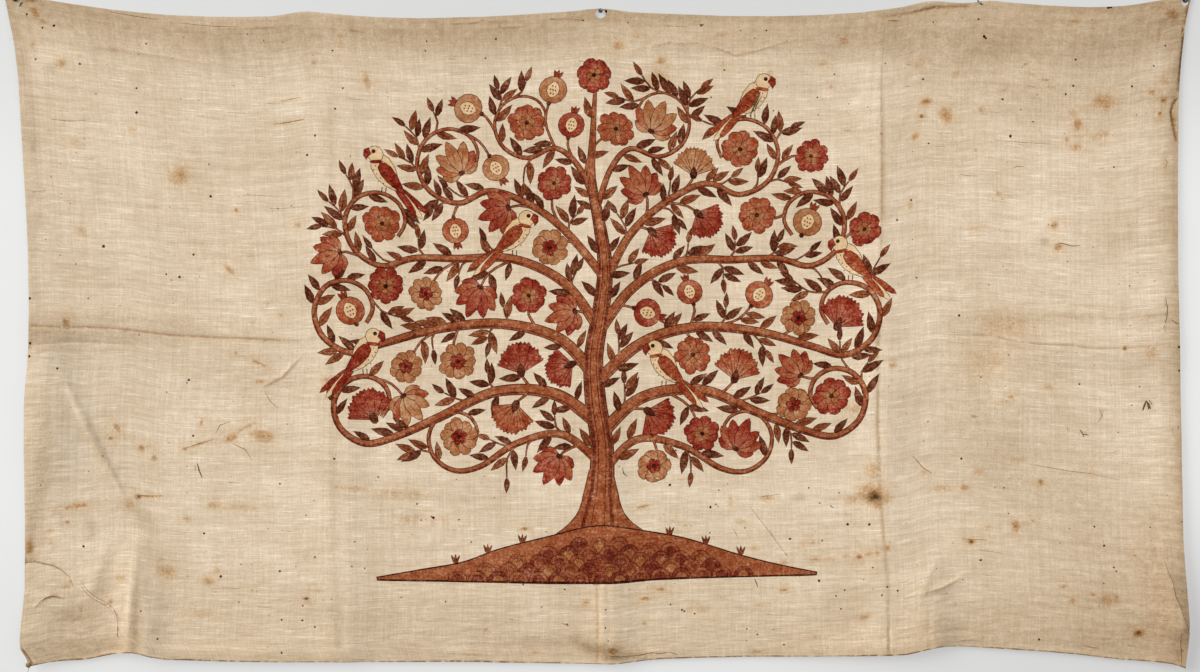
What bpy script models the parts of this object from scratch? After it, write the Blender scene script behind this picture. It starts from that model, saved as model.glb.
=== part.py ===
"""A wide painted cotton hanging, held flat against a wall by nails along its top edge.

The cloth is one piece of hand-woven cotton, used sideways: its loom width is the panel's height. It hangs
in shallow swags between a nail at each top corner, a nail in the middle and a small bent pin, and it has a
short string on its lower left corner. X runs to the right, Z up, and the cloth faces -Y. The wall, which is
not built, is the plane Y = 0. The origin is the wall end of the middle nail. Tables are in millimetres.
"""

import math

import bmesh
import bpy
import numpy as np
from mathutils import Matrix, Vector

MM = 0.001

# The cloth
CLOTH_THICKNESS = 1.5
CLOTH_BACK_AT_NAILS = 3.0
NEAREST_TO_WALL = 1.6
TOUCHING_GAP = 0.3
CELL_WIDTH = 30.0
CELL_HEIGHT = 36.0

# Each edge as seen from the front, in order: x and z of the places where its line changes.
TOP_EDGE = [
    # x, z
    (-984, 31), (-911, 18), (-801, 2), (-690, -8), (-611, -10), (-548, -9), (-482, -1), (-448, -4),
    (-370, -10), (-306, -12), (-181, -9), (-54, -1), (0, 4), (62, -3), (283, -9), (410, -4),
    (494, 6), (548, 16), (601, 13), (642, 17), (684, 13), (809, 6), (857, 8), (919, 17), (975, 26),
]
BOTTOM_EDGE = [
    # x, z
    (-939, -1080), (-896, -1072), (-848, -1069), (-801, -1060), (-770, -1057), (-738, -1064),
    (-707, -1069), (-496, -1073), (-275, -1073), (17, -1076), (93, -1069), (220, -1065),
    (410, -1063), (494, -1061), (542, -1051), (570, -1047), (670, -1052), (778, -1060),
    (857, -1069), (936, -1075), (964, -1083),
]
LEFT_EDGE = [
    # x, z
    (-984, 31), (-962, -86), (-952, -234), (-942, -401), (-939, -536), (-947, -661),
    (-948, -938), (-955, -1047), (-945, -1064), (-939, -1080),
]
RIGHT_EDGE = [
    # x, z
    (975, 26), (964, -23), (952, -171), (951, -353), (957, -678), (961, -861), (970, -1034), (964, -1083),
]

# Places along the top edge, and down from it, that a line of the cloth's mesh has to pass through.
COLUMN_STOPS = [-984, -950, -482, -14, 0, 14, 548, 614, 642, 948, 975]
ROW_STOPS = [0, 20, 520, 545, 570, 1045, 1075]

# How far the middle of the cloth stands from the wall where no fold lies.
HANG = [
    # z, depth
    (-1080, 7.0), (-800, 8.5), (-545, 9.0), (-300, 8.0), (30, 5.0),
]

# Every fold: its line from one end to the other, how wide it is to each side, and how far it stands
# out towards the viewer there. A trough has a negative rise.
FOLDS = {
    # x, z, width, rise
    "roll beside the left edge": [
        (-905, -480, 38, 0), (-902, -560, 38, 7), (-898, -700, 38, 9), (-903, -806, 34, 4), (-906, -870, 32, 0),
    ],
    "left edge, middle": [(-955, -250, 45, 0), (-943, -560, 48, 9), (-947, -720, 48, 9), (-948, -840, 42, 0)],
    "left edge, foot": [(-951, -950, 48, 0), (-955, -1040, 48, 8), (-944, -1078, 44, 8)],
    "old fold, left half": [
        (-938, -523, 30, 3), (-830, -517, 30, 4), (-733, -525, 30, 3), (-646, -541, 28, 3), (-496, -544, 26, 1),
    ],
    "old fold, right half": [(642, -536, 28, 1), (771, -550, 30, 4), (862, -556, 30, 3), (955, -545, 28, 2)],
    "old crease, left": [(-426, -60, 30, 1), (-426, -540, 30, 3), (-424, -1055, 30, 3)],
    "old crease, middle": [(12, -90, 30, 1), (14, -540, 30, 2), (17, -940, 32, 4), (17, -1070, 30, 8)],
    "old crease, right": [(458, -60, 30, 1), (466, -540, 30, 3), (470, -1050, 30, 3)],
    "swag, left": [(-800, -30, 45, 1), (-640, -70, 55, 5), (-530, -50, 45, 1)],
    "swag, left of the middle": [(-420, -40, 45, 1), (-250, -80, 60, 5), (-110, -45, 45, 1)],
    "swag, right of the middle": [(120, -40, 45, 1), (290, -75, 60, 5), (440, -45, 45, 1)],
    "swag, right": [(700, -25, 40, 1), (800, -50, 50, 4), (890, -30, 40, 1)],
    "fold of the lower left": [
        (-769, -844, 34, 0), (-762, -940, 34, 7), (-759, -1010, 32, 11), (-757, -1060, 32, 15),
    ],
    "fold of the lower right": [
        (557, -880, 34, 0), (530, -960, 34, 5), (542, -1010, 32, 9), (545, -1052, 32, 12),
    ],
    "deep fold at the right edge": [(905, -840, 32, 1), (930, -930, 30, 8), (948, -1010, 30, 12)],
    "right edge, foot": [(957, -680, 50, 1), (961, -860, 46, 7), (968, -1000, 46, 11), (966, -1080, 46, 11)],
    "bottom edge, left": [(-707, -1069, 34, 7), (-560, -1071, 34, 6), (-430, -1072, 34, 3)],
    "bottom edge, right": [(330, -1065, 34, 3), (430, -1062, 34, 8), (500, -1060, 32, 8)],
    "hollow, left half": [(-700, -300, 150, -3), (-640, -800, 150, -4)],
    "hollow, right half": [(260, -300, 150, -3), (250, -800, 150, -4), (700, -800, 140, -3)],
}

# The nails: where each stands on the wall, and the worn hole that it has made in the cloth.
NAILS = {
    # name: x, z, shank radius, head radius, head height, hole half width, hole half height
    "nail_left": (-964, 20, 1.4, 5.0, 2.6, 1.7, 1.7),
    "nail_middle": (0, 0, 1.2, 3.8, 2.4, 8.2, 6.9),
    "nail_right": (963, 18, 1.4, 5.2, 2.8, 5.8, 5.8),
}
NAIL_SIDES = 24
FLAT_ROUND_NAIL = 24.0
FOLDED_BEYOND_NAIL = 75.0

# The bent pin: a thin wire nail through the cloth, beaten over towards the cloth's top edge.
PIN_PLACE = (628, 10)
PIN_RADIUS = 1.0
PIN_TIP = (-7.5, -6.6, 7.0)
PIN_BEND = [
    # across, out from the wall, up
    (0, 0, 0), (0, -2.4, 0), (0, -4.5, 0), (-0.3, -5.4, 0.3), (-1.1, -6.1, 1.1), (-2.4, -6.4, 2.3), PIN_TIP,
]

# The string: it leaves the corner downwards, swings out to the left and hangs.
STRING_RADIUS = 0.8
STRING_ROUTE = [
    # across, out from the wall, up, from the cloth's corner
    (0, 0, 0), (-0.8, 0, -4), (-3.6, -0.6, -9.5), (-7.4, -1.0, -16), (-10.2, -0.8, -24), (-11.2, 0.2, -33),
    (-10.4, 1.2, -43), (-8.8, 1.6, -53), (-7.8, 1.4, -63), (-8.0, 1.0, -72),
]
STRING_STEP = 3.2


def material(name, colour, roughness, metallic=0.0):
    """A plain finish for one kind of piece."""
    finish = bpy.data.materials.new(name)
    finish.use_nodes = True
    shader = finish.node_tree.nodes["Principled BSDF"]
    shader.inputs["Base Color"].default_value = (*colour, 1.0)
    shader.inputs["Roughness"].default_value = roughness
    shader.inputs["Metallic"].default_value = metallic
    finish.diffuse_color = (*colour, 1.0)
    return finish


def new_object(name, data, finish=None):
    made = bpy.data.objects.new(name, data)
    bpy.context.scene.collection.objects.link(made)
    if finish:
        data.materials.append(finish)
    return made


def flowing_line(rows, at):
    """Height of a smooth line through the rows, which never swings past a row that is a high or low point."""
    xs, ys = np.array(sorted(rows), float).T
    step = np.diff(xs)
    slope = np.diff(ys) / step
    tangent = np.empty_like(ys)
    tangent[0], tangent[-1] = slope[0], slope[-1]
    same_way = slope[:-1] * slope[1:] > 0
    with np.errstate(divide="ignore", invalid="ignore"):
        tangent[1:-1] = np.where(same_way, 2 * slope[:-1] * slope[1:] / (slope[:-1] + slope[1:]), 0.0)
    i = np.clip(np.searchsorted(xs, at, side="right") - 1, 0, len(step) - 1)
    t = (at - xs[i]) / step[i]
    rest = 1 - t
    return (
        ys[i] * rest * rest * (1 + 2 * t)
        + tangent[i] * step[i] * t * rest * rest
        + ys[i + 1] * t * t * (3 - 2 * t)
        - tangent[i + 1] * step[i] * t * t * rest
    )


def divided(stops, longest):
    """The stops, with even cells no longer than that between each two."""
    lines = [stops[0]]
    for low, high in zip(stops, stops[1:]):
        cells = math.ceil((high - low) / longest)
        lines += [low + (high - low) * k / cells for k in range(1, cells + 1)]
    return np.array(lines)


def cloth_point(across, down):
    """x and z of the point that lies that far across (0 to 1) and down (0 to 1) between the four edges."""
    (left_x, left_z), (right_x, right_z) = TOP_EDGE[0], TOP_EDGE[-1]
    (foot_left_x, foot_left_z), (foot_right_x, foot_right_z) = BOTTOM_EDGE[0], BOTTOM_EDGE[-1]
    top_x = left_x + (right_x - left_x) * across
    top = np.array([top_x, flowing_line(TOP_EDGE, top_x)])
    bottom_x = foot_left_x + (foot_right_x - foot_left_x) * across
    bottom = np.array([bottom_x, flowing_line(BOTTOM_EDGE, bottom_x)])
    sideways_left = [(z, x) for x, z in LEFT_EDGE]
    left_down = left_z + (foot_left_z - left_z) * down
    left = np.array([flowing_line(sideways_left, left_down), left_down])
    sideways_right = [(z, x) for x, z in RIGHT_EDGE]
    right_down = right_z + (foot_right_z - right_z) * down
    right = np.array([flowing_line(sideways_right, right_down), right_down])
    corners = (1 - down) * ((1 - across) * np.array(TOP_EDGE[0]) + across * np.array(TOP_EDGE[-1]))
    corners += down * ((1 - across) * np.array(BOTTOM_EDGE[0]) + across * np.array(BOTTOM_EDGE[-1]))
    return (1 - down) * top + down * bottom + (1 - across) * left + across * right - corners


def fold_rise(stations, x, z):
    """How far one fold lifts the cloth at x, z: full on its line, fading to both sides and past its ends."""
    best_share, rise = math.inf, 0.0
    for (x0, z0, width0, rise0), (x1, z1, width1, rise1) in zip(stations, stations[1:]):
        along = ((x - x0) * (x1 - x0) + (z - z0) * (z1 - z0)) / ((x1 - x0) ** 2 + (z1 - z0) ** 2)
        along = min(max(along, 0.0), 1.0)
        aside = math.hypot(x - x0 - (x1 - x0) * along, z - z0 - (z1 - z0) * along)
        share = aside / (width0 + (width1 - width0) * along)
        if share < best_share:
            best_share, rise = share, rise0 + (rise1 - rise0) * along
    return rise * math.exp(-best_share * best_share)


def held_places():
    return [(x, z) for x, z, *_ in NAILS.values()] + [PIN_PLACE]


def cloth_depth(x, z):
    """How far the middle of the cloth stands from the wall at x, z."""
    depth = flowing_line(HANG, z) + sum(fold_rise(fold, x, z) for fold in FOLDS.values())
    depth = max(depth, NEAREST_TO_WALL)
    held = CLOTH_BACK_AT_NAILS + CLOTH_THICKNESS / 2
    for nail_x, nail_z in held_places():
        away = math.hypot(x - nail_x, z - nail_z)
        free = min(max((away - FLAT_ROUND_NAIL) / (FOLDED_BEYOND_NAIL - FLAT_ROUND_NAIL), 0.0), 1.0)
        free = free * free * (3 - 2 * free)
        depth = held + (depth - held) * free
    return depth


def nail_hole(name):
    """A cutter for the hole round a nail, which hangs with its top on the nail's shank."""
    x, z, shank, _, _, half_width, half_height = NAILS[name]
    hole_z = z + shank + TOUCHING_GAP - half_height
    return round_cutter(name + "_hole", x, hole_z, half_width, half_height)


def round_cutter(name, x, z, half_width, half_height):
    mesh = bpy.data.meshes.new(name)
    shape = bmesh.new()
    upright = Matrix.Rotation(math.pi / 2, 4, "X")
    size = Matrix.Diagonal((half_width * MM, 1.0, half_height * MM, 1.0))
    place = Matrix.Translation((x * MM, 0, z * MM))
    bmesh.ops.create_cone(
        shape, cap_ends=True, segments=NAIL_SIDES, radius1=1.0, radius2=1.0, depth=0.1, matrix=place @ size @ upright
    )
    bmesh.ops.recalc_face_normals(shape, faces=shape.faces)
    shape.to_mesh(mesh)
    shape.free()
    cutter = new_object(name, mesh)
    cutter.hide_render = True
    cutter.display_type = "WIRE"
    return cutter


def make_cloth(finish):
    columns = divided(COLUMN_STOPS, CELL_WIDTH)
    rows = divided(ROW_STOPS, CELL_HEIGHT)
    across = (columns - columns[0]) / (columns[-1] - columns[0])
    down = rows / rows[-1]
    mesh = bpy.data.meshes.new("panel_cloth")
    sheet = bmesh.new()
    bmesh.ops.create_grid(sheet, x_segments=len(across) - 1, y_segments=len(down) - 1, size=1.0)
    for point in sheet.verts:
        column = round((point.co.x + 1) / 2 * (len(across) - 1))
        row = round((1 - point.co.y) / 2 * (len(down) - 1))
        x, z = cloth_point(across[column], down[row])
        point.co = Vector((x, -cloth_depth(x, z), z)) * MM
    sheet.to_mesh(mesh)
    sheet.free()
    mesh.shade_smooth()
    cloth = new_object("panel_cloth", mesh, finish)
    wall = cloth.modifiers.new("thickness", "SOLIDIFY")
    wall.thickness = CLOTH_THICKNESS * MM
    wall.offset = 0.0
    pin_hole = PIN_RADIUS + TOUCHING_GAP
    cutters = [nail_hole(name) for name in NAILS]
    cutters.append(round_cutter("bent_pin_hole", *PIN_PLACE, pin_hole, pin_hole))
    for cutter in cutters:
        cut = cloth.modifiers.new(cutter.name, "BOOLEAN")
        cut.operation = "DIFFERENCE"
        cut.object = cutter
    return cloth


def make_nail(name, finish):
    """A round nail from its wall end, at y = 0, out to a domed head that sits on the cloth."""
    x, z, shank, head, height, _, _ = NAILS[name]
    seat = CLOTH_BACK_AT_NAILS + CLOTH_THICKNESS + TOUCHING_GAP
    profile = [
        # radius, out from the wall
        (0, 0), (shank, 0), (shank, seat), (0.94 * head, seat), (head, seat + 0.2 * height),
        (0.93 * head, seat + 0.52 * height), (0.72 * head, seat + 0.8 * height),
        (0.38 * head, seat + 0.96 * height), (0, seat + height),
    ]
    mesh = bpy.data.meshes.new(name)
    shape = bmesh.new()
    points = [shape.verts.new(((x + radius) * MM, -out * MM, z * MM)) for radius, out in profile]
    lines = [shape.edges.new(pair) for pair in zip(points, points[1:])]
    bmesh.ops.spin(
        shape, geom=points + lines, cent=(x * MM, 0, z * MM), axis=(0, 1, 0), angle=2 * math.pi,
        steps=NAIL_SIDES, use_merge=True,
    )
    bmesh.ops.remove_doubles(shape, verts=shape.verts, dist=1e-6)
    bmesh.ops.recalc_face_normals(shape, faces=shape.faces)
    shape.to_mesh(mesh)
    shape.free()
    mesh.shade_smooth()
    mesh.set_sharp_from_angle(angle=math.radians(40))
    return new_object(name, mesh, finish)


def make_tube(name, route, radius, sides, finish):
    """A round closed tube along the route, which is in millimetres."""
    curve = bpy.data.curves.new(name, "CURVE")
    curve.dimensions = "3D"
    curve.bevel_depth = radius * MM
    curve.bevel_resolution = sides
    curve.use_fill_caps = True
    line = curve.splines.new("POLY")
    line.points.add(len(route) - 1)
    for point, place in zip(line.points, route):
        point.co = (*(Vector(place) * MM), 1.0)
    line.use_smooth = True
    return new_object(name, curve, finish)


def smooth_route(stations, step):
    """Points a step apart on one smooth curve through the stations."""
    route = [Vector(stations[0])]
    for k in range(len(stations) - 1):
        before = Vector(stations[max(k - 1, 0)])
        start, end = Vector(stations[k]), Vector(stations[k + 1])
        after = Vector(stations[min(k + 2, len(stations) - 1)])
        leave, arrive = (end - before) / 2, (after - start) / 2
        pieces = max(round((end - start).length / step), 1)
        for j in range(1, pieces + 1):
            t = j / pieces
            rest = 1 - t
            place = start * rest * rest * (1 + 2 * t) + leave * t * rest * rest
            place += end * t * t * (3 - 2 * t) - arrive * t * t * rest
            route.append(place)
    return route


def make_bent_pin(finish):
    x, z = PIN_PLACE
    route = [(x + across, out, z + up) for across, out, up in PIN_BEND]
    return make_tube("bent_pin", route, PIN_RADIUS, 3, finish)


def make_string(finish):
    x, z = BOTTOM_EDGE[0]
    start = Vector((x, -cloth_depth(x, z), z - TOUCHING_GAP))
    stations = [start + Vector(place) for place in STRING_ROUTE]
    return make_tube("corner_string", smooth_route(stations, STRING_STEP), STRING_RADIUS, 2, finish)


def main():
    for old in list(bpy.data.objects):
        bpy.data.objects.remove(old, do_unlink=True)
    cotton = material("unbleached cotton", (0.70, 0.56, 0.40), 0.95)
    iron = material("blackened iron", (0.03, 0.025, 0.022), 0.45, 0.8)
    twine = material("cotton string", (0.62, 0.53, 0.38), 0.9)
    make_cloth(cotton)
    for name in NAILS:
        make_nail(name, iron)
    make_bent_pin(iron)
    make_string(twine)


main()
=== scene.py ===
# %% [markdown]
# This script dresses a painted cotton hanging that is held on a wall by a few nails. The solids that carry
# it are loaded first and stay where they are. Everything added here is made around them, in metres, with X
# to the right, Z up and the painted side facing -Y. The middle nail stands on the wall at the origin.

# %% Load the frame
import itertools
import math
import random

import bmesh
import bpy
import numpy as np
from mathutils import Matrix, Vector, noise
from mathutils.bvhtree import BVHTree
from mathutils.geometry import delaunay_2d_cdt


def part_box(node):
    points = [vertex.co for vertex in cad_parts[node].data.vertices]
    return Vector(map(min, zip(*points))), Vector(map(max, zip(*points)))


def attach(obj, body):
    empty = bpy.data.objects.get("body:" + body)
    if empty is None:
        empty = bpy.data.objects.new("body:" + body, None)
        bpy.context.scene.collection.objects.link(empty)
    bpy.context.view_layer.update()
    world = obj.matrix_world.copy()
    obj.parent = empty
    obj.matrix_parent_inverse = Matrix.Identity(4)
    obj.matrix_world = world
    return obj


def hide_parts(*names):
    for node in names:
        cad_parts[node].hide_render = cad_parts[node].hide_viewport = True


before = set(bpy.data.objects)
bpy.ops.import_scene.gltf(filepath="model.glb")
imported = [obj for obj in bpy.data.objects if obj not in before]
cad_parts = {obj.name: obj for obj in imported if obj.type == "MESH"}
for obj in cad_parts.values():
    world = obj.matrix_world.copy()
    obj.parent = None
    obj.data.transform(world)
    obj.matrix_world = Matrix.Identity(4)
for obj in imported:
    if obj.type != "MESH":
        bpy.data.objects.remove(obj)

MM = 0.001
CLOTH, STRING = "panel_cloth", "corner_string"
NAILS = ("nail_left", "nail_middle", "nail_right", "bent_pin")
scene = bpy.context.scene
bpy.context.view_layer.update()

# %% [markdown]
# Most pieces here are new meshes. A small helper turns a finished bmesh into an object of the scene, and
# another makes it smooth and lets it ride on the frame's only body.

# %% Helpers for new pieces
def new_object(name, shape):
    """A mesh object from a bmesh, in place."""
    mesh = bpy.data.meshes.new(name)
    shape.to_mesh(mesh)
    shape.free()
    made = bpy.data.objects.new(name, mesh)
    scene.collection.objects.link(made)
    return made


def new_piece(name, shape):
    """A smooth mesh object from a bmesh, riding on the root body."""
    piece = new_object(name, shape)
    piece.data.shade_smooth()
    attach(piece, "root")
    return piece


# %% [markdown]
# The camera looks straight at the cloth. The picture is 1200 pixels wide and shows 1.979 m at the wall, so
# one pixel is 1.649 mm: the cloth's height between its two woven edges is the 1.07 m of a hand loom. The
# lens follows from that width and from the camera's distance.

# %% The camera
PICTURE_WIDTH, CAMERA_DISTANCE = 1.979, 4.0
SENSOR_WIDTH = 36.0
LOOKS_AT = Vector((-0.0008, 0.0, -0.5359))
camera_data = bpy.data.cameras.new("camera")
camera_data.sensor_width = SENSOR_WIDTH
camera_data.lens = SENSOR_WIDTH * CAMERA_DISTANCE / PICTURE_WIDTH
camera = bpy.data.objects.new("camera", camera_data)
camera.location = LOOKS_AT - Vector((0, CAMERA_DISTANCE, 0))
camera.rotation_euler = (math.pi / 2, 0, 0)
scene.collection.objects.link(camera)
scene.camera = camera
print("lens", round(camera_data.lens, 1), "mm")

# %% [markdown]
# A length of two-ply cotton string hangs from the lower left corner. Its route is a few given points,
# relative to the corner, with a smooth curve through them. Two yarns twisted together have a section with two
# lobes that turns along the way, so the string is one ring of points, extruded along the route and turned a
# little at each step.

# %% The string on the corner
STRING_RADIUS, STRING_TURN, STRING_STEP = 0.8 * MM, 5.2 * MM, 0.8 * MM
STRING_HANGS_AT = -0.939
STRING_ROUTE = [
    # across, out from the wall, up, from the string's upper end, in millimetres
    (0, 0, 0), (-0.8, 0, -4), (-3.6, -0.6, -9.5), (-7.4, -1.0, -16), (-10.2, -0.8, -24), (-11.2, 0.2, -33),
    (-10.4, 1.2, -43), (-8.8, 1.6, -53), (-7.8, 1.4, -63), (-8.0, 1.0, -72),
]


def smooth_route(stations, step):
    """Points about a step apart on one smooth curve through the stations."""
    route = [Vector(stations[0])]
    for k, (start, end) in enumerate(zip(stations, stations[1:])):
        start, end = Vector(start), Vector(end)
        leave = (end - Vector(stations[max(k - 1, 0)])) / 2
        arrive = (Vector(stations[min(k + 2, len(stations) - 1)]) - start) / 2
        pieces = max(round((end - start).length / step), 1)
        for j in range(1, pieces + 1):
            t = j / pieces
            rest = 1 - t
            place = start * rest * rest * (1 + 2 * t) + leave * t * rest * rest
            route.append(place + end * t * t * (3 - 2 * t) - arrive * t * t * rest)
    return route


def route_length(route):
    """The length of the route along all its points."""
    return sum((b - a).length for a, b in zip(route, route[1:]))


def twisted_yarn(route, radius, turn, sides=10, lobes=2, bulge=0.17, shape=None):
    """A closed tube along the route, whose lobed section makes one turn in each length of turn."""
    shape = shape or bmesh.new()
    before, gone = [], 0.0
    for k, place in enumerate(route):
        behind, ahead = route[max(k - 1, 0)], route[min(k + 1, len(route) - 1)]
        facing = (ahead - behind).to_track_quat("Z", "Y").to_matrix()
        gone += (place - behind).length
        at_end = k in (0, len(route) - 1)
        ring = bmesh.ops.create_circle(shape, cap_ends=at_end, segments=sides, radius=radius)["verts"]
        for n, point in enumerate(ring):
            angle = 2 * math.pi * n / sides
            lobe = 1 - bulge + bulge * math.cos(lobes * (angle - 2 * math.pi * gone / turn))
            point.co = place + facing @ Vector((math.cos(angle), math.sin(angle), 0)) * radius * lobe
        edges = list({edge for point in ring for edge in point.link_edges})
        if before:
            bmesh.ops.bridge_loops(shape, edges=before + edges)
        before = edges
    bmesh.ops.recalc_face_normals(shape, faces=shape.faces)
    return shape


string_low, string_high = (Vector(corner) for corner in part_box(STRING))
string_top = Vector((STRING_HANGS_AT, (string_low.y + string_high.y) / 2, string_high.z))
route = smooth_route([string_top + Vector(place) * MM for place in STRING_ROUTE], STRING_STEP)
hanging_string = new_piece("hanging_string", twisted_yarn(route, STRING_RADIUS, STRING_TURN))
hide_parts(STRING)
print("string", round(route_length(route) / MM), "mm long")

# %% [markdown]
# The stage is a pale wall right behind the nails and a pale floor below. Both are seen only from their front
# sides, so that a camera behind the wall still sees the cloth's back, and neither blocks or throws light
# there. The light is a broad soft lamp high on the left, which rakes across the cloth and shows its creases,
# a weaker one on the right, a pale world that fills the shadows, and a weak lamp behind for the back.

# %% The stage and the light
FLOOR_HEIGHT, FLOOR_SIZE = -1.62, 16.0
WALL_BEHIND, WALL_SIZE = 0.0006, 9.0
FLOOR_COLOUR, FLOOR_GLOW = (0.72, 0.71, 0.69), 0.2
WALL_COLOUR, WALL_GLOW = (0.835, 0.835, 0.825), 0.66
STAGE_ROUGHNESS = 0.9
ROOM_COLOUR, ROOM_LIGHT = (0.96, 0.98, 1.0), 0.30
LAMPS = [
    # name, where its light comes from, strength, breadth in degrees
    ("lamp_left", (-0.80, -0.50, 0.45), 3.5, 45),
    ("lamp_right", (0.7, -0.75, 0.2), 0.6, 50),
    ("lamp_behind", (0.4, 0.8, 0.5), 1.2, 40),
]


def stage_plane(name, size, place, turn, colour, glow):
    """A large plane that shows only from its front. The share of glow in it keeps the shadows on it pale."""
    shape = bmesh.new()
    bmesh.ops.create_grid(
        shape, x_segments=1, y_segments=1, size=size / 2, matrix=Matrix.Translation(place) @ turn,
    )
    plane = new_object(name, shape)
    finish = bpy.data.materials.new(name + "_paint")
    finish.use_nodes = True
    nodes, links = finish.node_tree.nodes, finish.node_tree.links
    paint = nodes["Principled BSDF"]
    paint.inputs["Base Color"].default_value = (*[share * (1 - glow) for share in colour], 1)
    paint.inputs["Emission Color"].default_value = (*colour, 1)
    paint.inputs["Emission Strength"].default_value = glow
    paint.inputs["Roughness"].default_value = STAGE_ROUGHNESS
    clear = nodes.new("ShaderNodeBsdfTransparent")
    side = nodes.new("ShaderNodeNewGeometry")
    mix = nodes.new("ShaderNodeMixShader")
    links.new(side.outputs["Backfacing"], mix.inputs["Fac"])
    links.new(paint.outputs["BSDF"], mix.inputs[1])
    links.new(clear.outputs["BSDF"], mix.inputs[2])
    links.new(mix.outputs["Shader"], nodes["Material Output"].inputs["Surface"])
    plane.data.materials.append(finish)
    plane.visible_diffuse = plane.visible_glossy = plane.visible_transmission = plane.visible_shadow = False


def soft_lamp(name, comes_from, strength, breadth):
    """Soft light that falls evenly from one side, as from a large screen far away."""
    data = bpy.data.lights.new(name, "SUN")
    data.energy = strength
    data.angle = math.radians(breadth)
    lamp = bpy.data.objects.new(name, data)
    lamp.rotation_euler = Vector(comes_from).to_track_quat("Z", "Y").to_euler()
    lamp.location = LOOKS_AT + 3 * Vector(comes_from).normalized()
    scene.collection.objects.link(lamp)


upright = Matrix.Rotation(math.pi / 2, 4, "X")
wall_middle = (0, WALL_BEHIND, FLOOR_HEIGHT + WALL_SIZE / 2)
stage_plane("wall", WALL_SIZE, wall_middle, upright, WALL_COLOUR, WALL_GLOW)
stage_plane("floor", FLOOR_SIZE, (0, 0, FLOOR_HEIGHT), Matrix.Identity(4), FLOOR_COLOUR, FLOOR_GLOW)
for lamp in LAMPS:
    soft_lamp(*lamp)
world = bpy.data.worlds.new("pale_room")
world.use_nodes = True
background = world.node_tree.nodes["Background"].inputs
background["Color"].default_value = (*ROOM_COLOUR, 1)
background["Strength"].default_value = ROOM_LIGHT
scene.world = world
scene.view_settings.view_transform = "Standard"
print("lamps", [lamp.name for lamp in bpy.data.lights])

# %% [markdown]
# The cloth hangs in shallow swags between its nails, and its outline is as uneven as that of any old
# hand-woven cotton. Four short tables give the edges, as seen from the front. A smooth line runs through each
# table, and every place of the flat cloth finds its hung place between the four lines. That way the threads
# follow the sagging edges, and a pattern in the flat cloth hangs with it.

# %% The flat cloth, and where each place of it hangs
# the size of the cloth laid flat, in metres; its height is the loom's width
CLOTH_WIDTH, CLOTH_HEIGHT = 1.932, 1.076
TOP_EDGE = [
    # x, z in millimetres
    (-984, 31), (-911, 18), (-801, 2), (-690, -8), (-611, -10), (-548, -9), (-482, -1), (-448, -4),
    (-370, -10), (-306, -12), (-181, -9), (-54, -1), (0, 4), (62, -3), (283, -9), (410, -4),
    (494, 6), (548, 16), (601, 13), (642, 17), (684, 13), (809, 6), (857, 8), (919, 17), (975, 26),
]
BOTTOM_EDGE = [
    # x, z
    (-939, -1080), (-896, -1072), (-848, -1069), (-801, -1060), (-770, -1057), (-738, -1064),
    (-707, -1069), (-496, -1073), (-275, -1073), (17, -1076), (93, -1069), (220, -1065),
    (410, -1063), (494, -1061), (542, -1051), (570, -1047), (670, -1052), (778, -1060),
    (857, -1069), (936, -1075), (961, -1082),
]
LEFT_EDGE = [
    # x, z
    (-984, 31), (-962, -86), (-952, -234), (-942, -401), (-939, -536), (-947, -661),
    (-948, -938), (-955, -1047), (-945, -1064), (-939, -1080),
]
RIGHT_EDGE = [
    # x, z
    (975, 26), (964, -23), (952, -171), (951, -353), (956, -678), (958, -861), (966, -1030), (961, -1082),
]


def flowing_line(rows, at):
    """Height of a smooth line through the rows, which never swings past a row that is a high or low point."""
    xs, ys = np.array(sorted(rows), float).T
    step = np.diff(xs)
    slope = np.diff(ys) / step
    tangent = np.empty_like(ys)
    tangent[0], tangent[-1] = slope[0], slope[-1]
    same_way = slope[:-1] * slope[1:] > 0
    with np.errstate(divide="ignore", invalid="ignore"):
        tangent[1:-1] = np.where(same_way, 2 * slope[:-1] * slope[1:] / (slope[:-1] + slope[1:]), 0.0)
    i = np.clip(np.searchsorted(xs, at, side="right") - 1, 0, len(step) - 1)
    t = (at - xs[i]) / step[i]
    rest = 1 - t
    bend = tangent[i] * step[i] * t * rest * rest - tangent[i + 1] * step[i] * t * t * rest
    return ys[i] * rest * rest * (1 + 2 * t) + ys[i + 1] * t * t * (3 - 2 * t) + bend


def between(start, end, share):
    """The place that lies this share of the way from start to end."""
    return start + (end - start) * share


def places_in(rows):
    """The rows' x and z, or across and up, as complex numbers."""
    return np.array([complex(*row[:2]) for row in rows])


def hung_place(flat):
    """Hung x + 1j z, in millimetres, of flat places: across + 1j up, in metres from the lower left."""
    across, down = flat.real / CLOTH_WIDTH, 1 - flat.imag / CLOTH_HEIGHT
    top_left, top_right, foot_left, foot_right = (
        complex(*corner) for corner in (TOP_EDGE[0], TOP_EDGE[-1], BOTTOM_EDGE[0], BOTTOM_EDGE[-1])
    )
    top_x = between(top_left, top_right, across).real
    foot_x = between(foot_left, foot_right, across).real
    left_z = between(top_left, foot_left, down).imag
    right_z = between(top_right, foot_right, down).imag
    top, foot = top_x + 1j * flowing_line(TOP_EDGE, top_x), foot_x + 1j * flowing_line(BOTTOM_EDGE, foot_x)
    left = flowing_line([(z, x) for x, z in LEFT_EDGE], left_z) + 1j * left_z
    right = flowing_line([(z, x) for x, z in RIGHT_EDGE], right_z) + 1j * right_z
    corners = between(between(top_left, top_right, across), between(foot_left, foot_right, across), down)
    return between(top, foot, down) + between(left, right, across) - corners


LEFT_AND_BELOW = complex(960, 1070)
JUST_OUTSIDE, CORRECTIONS = 0.02, 12


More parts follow.
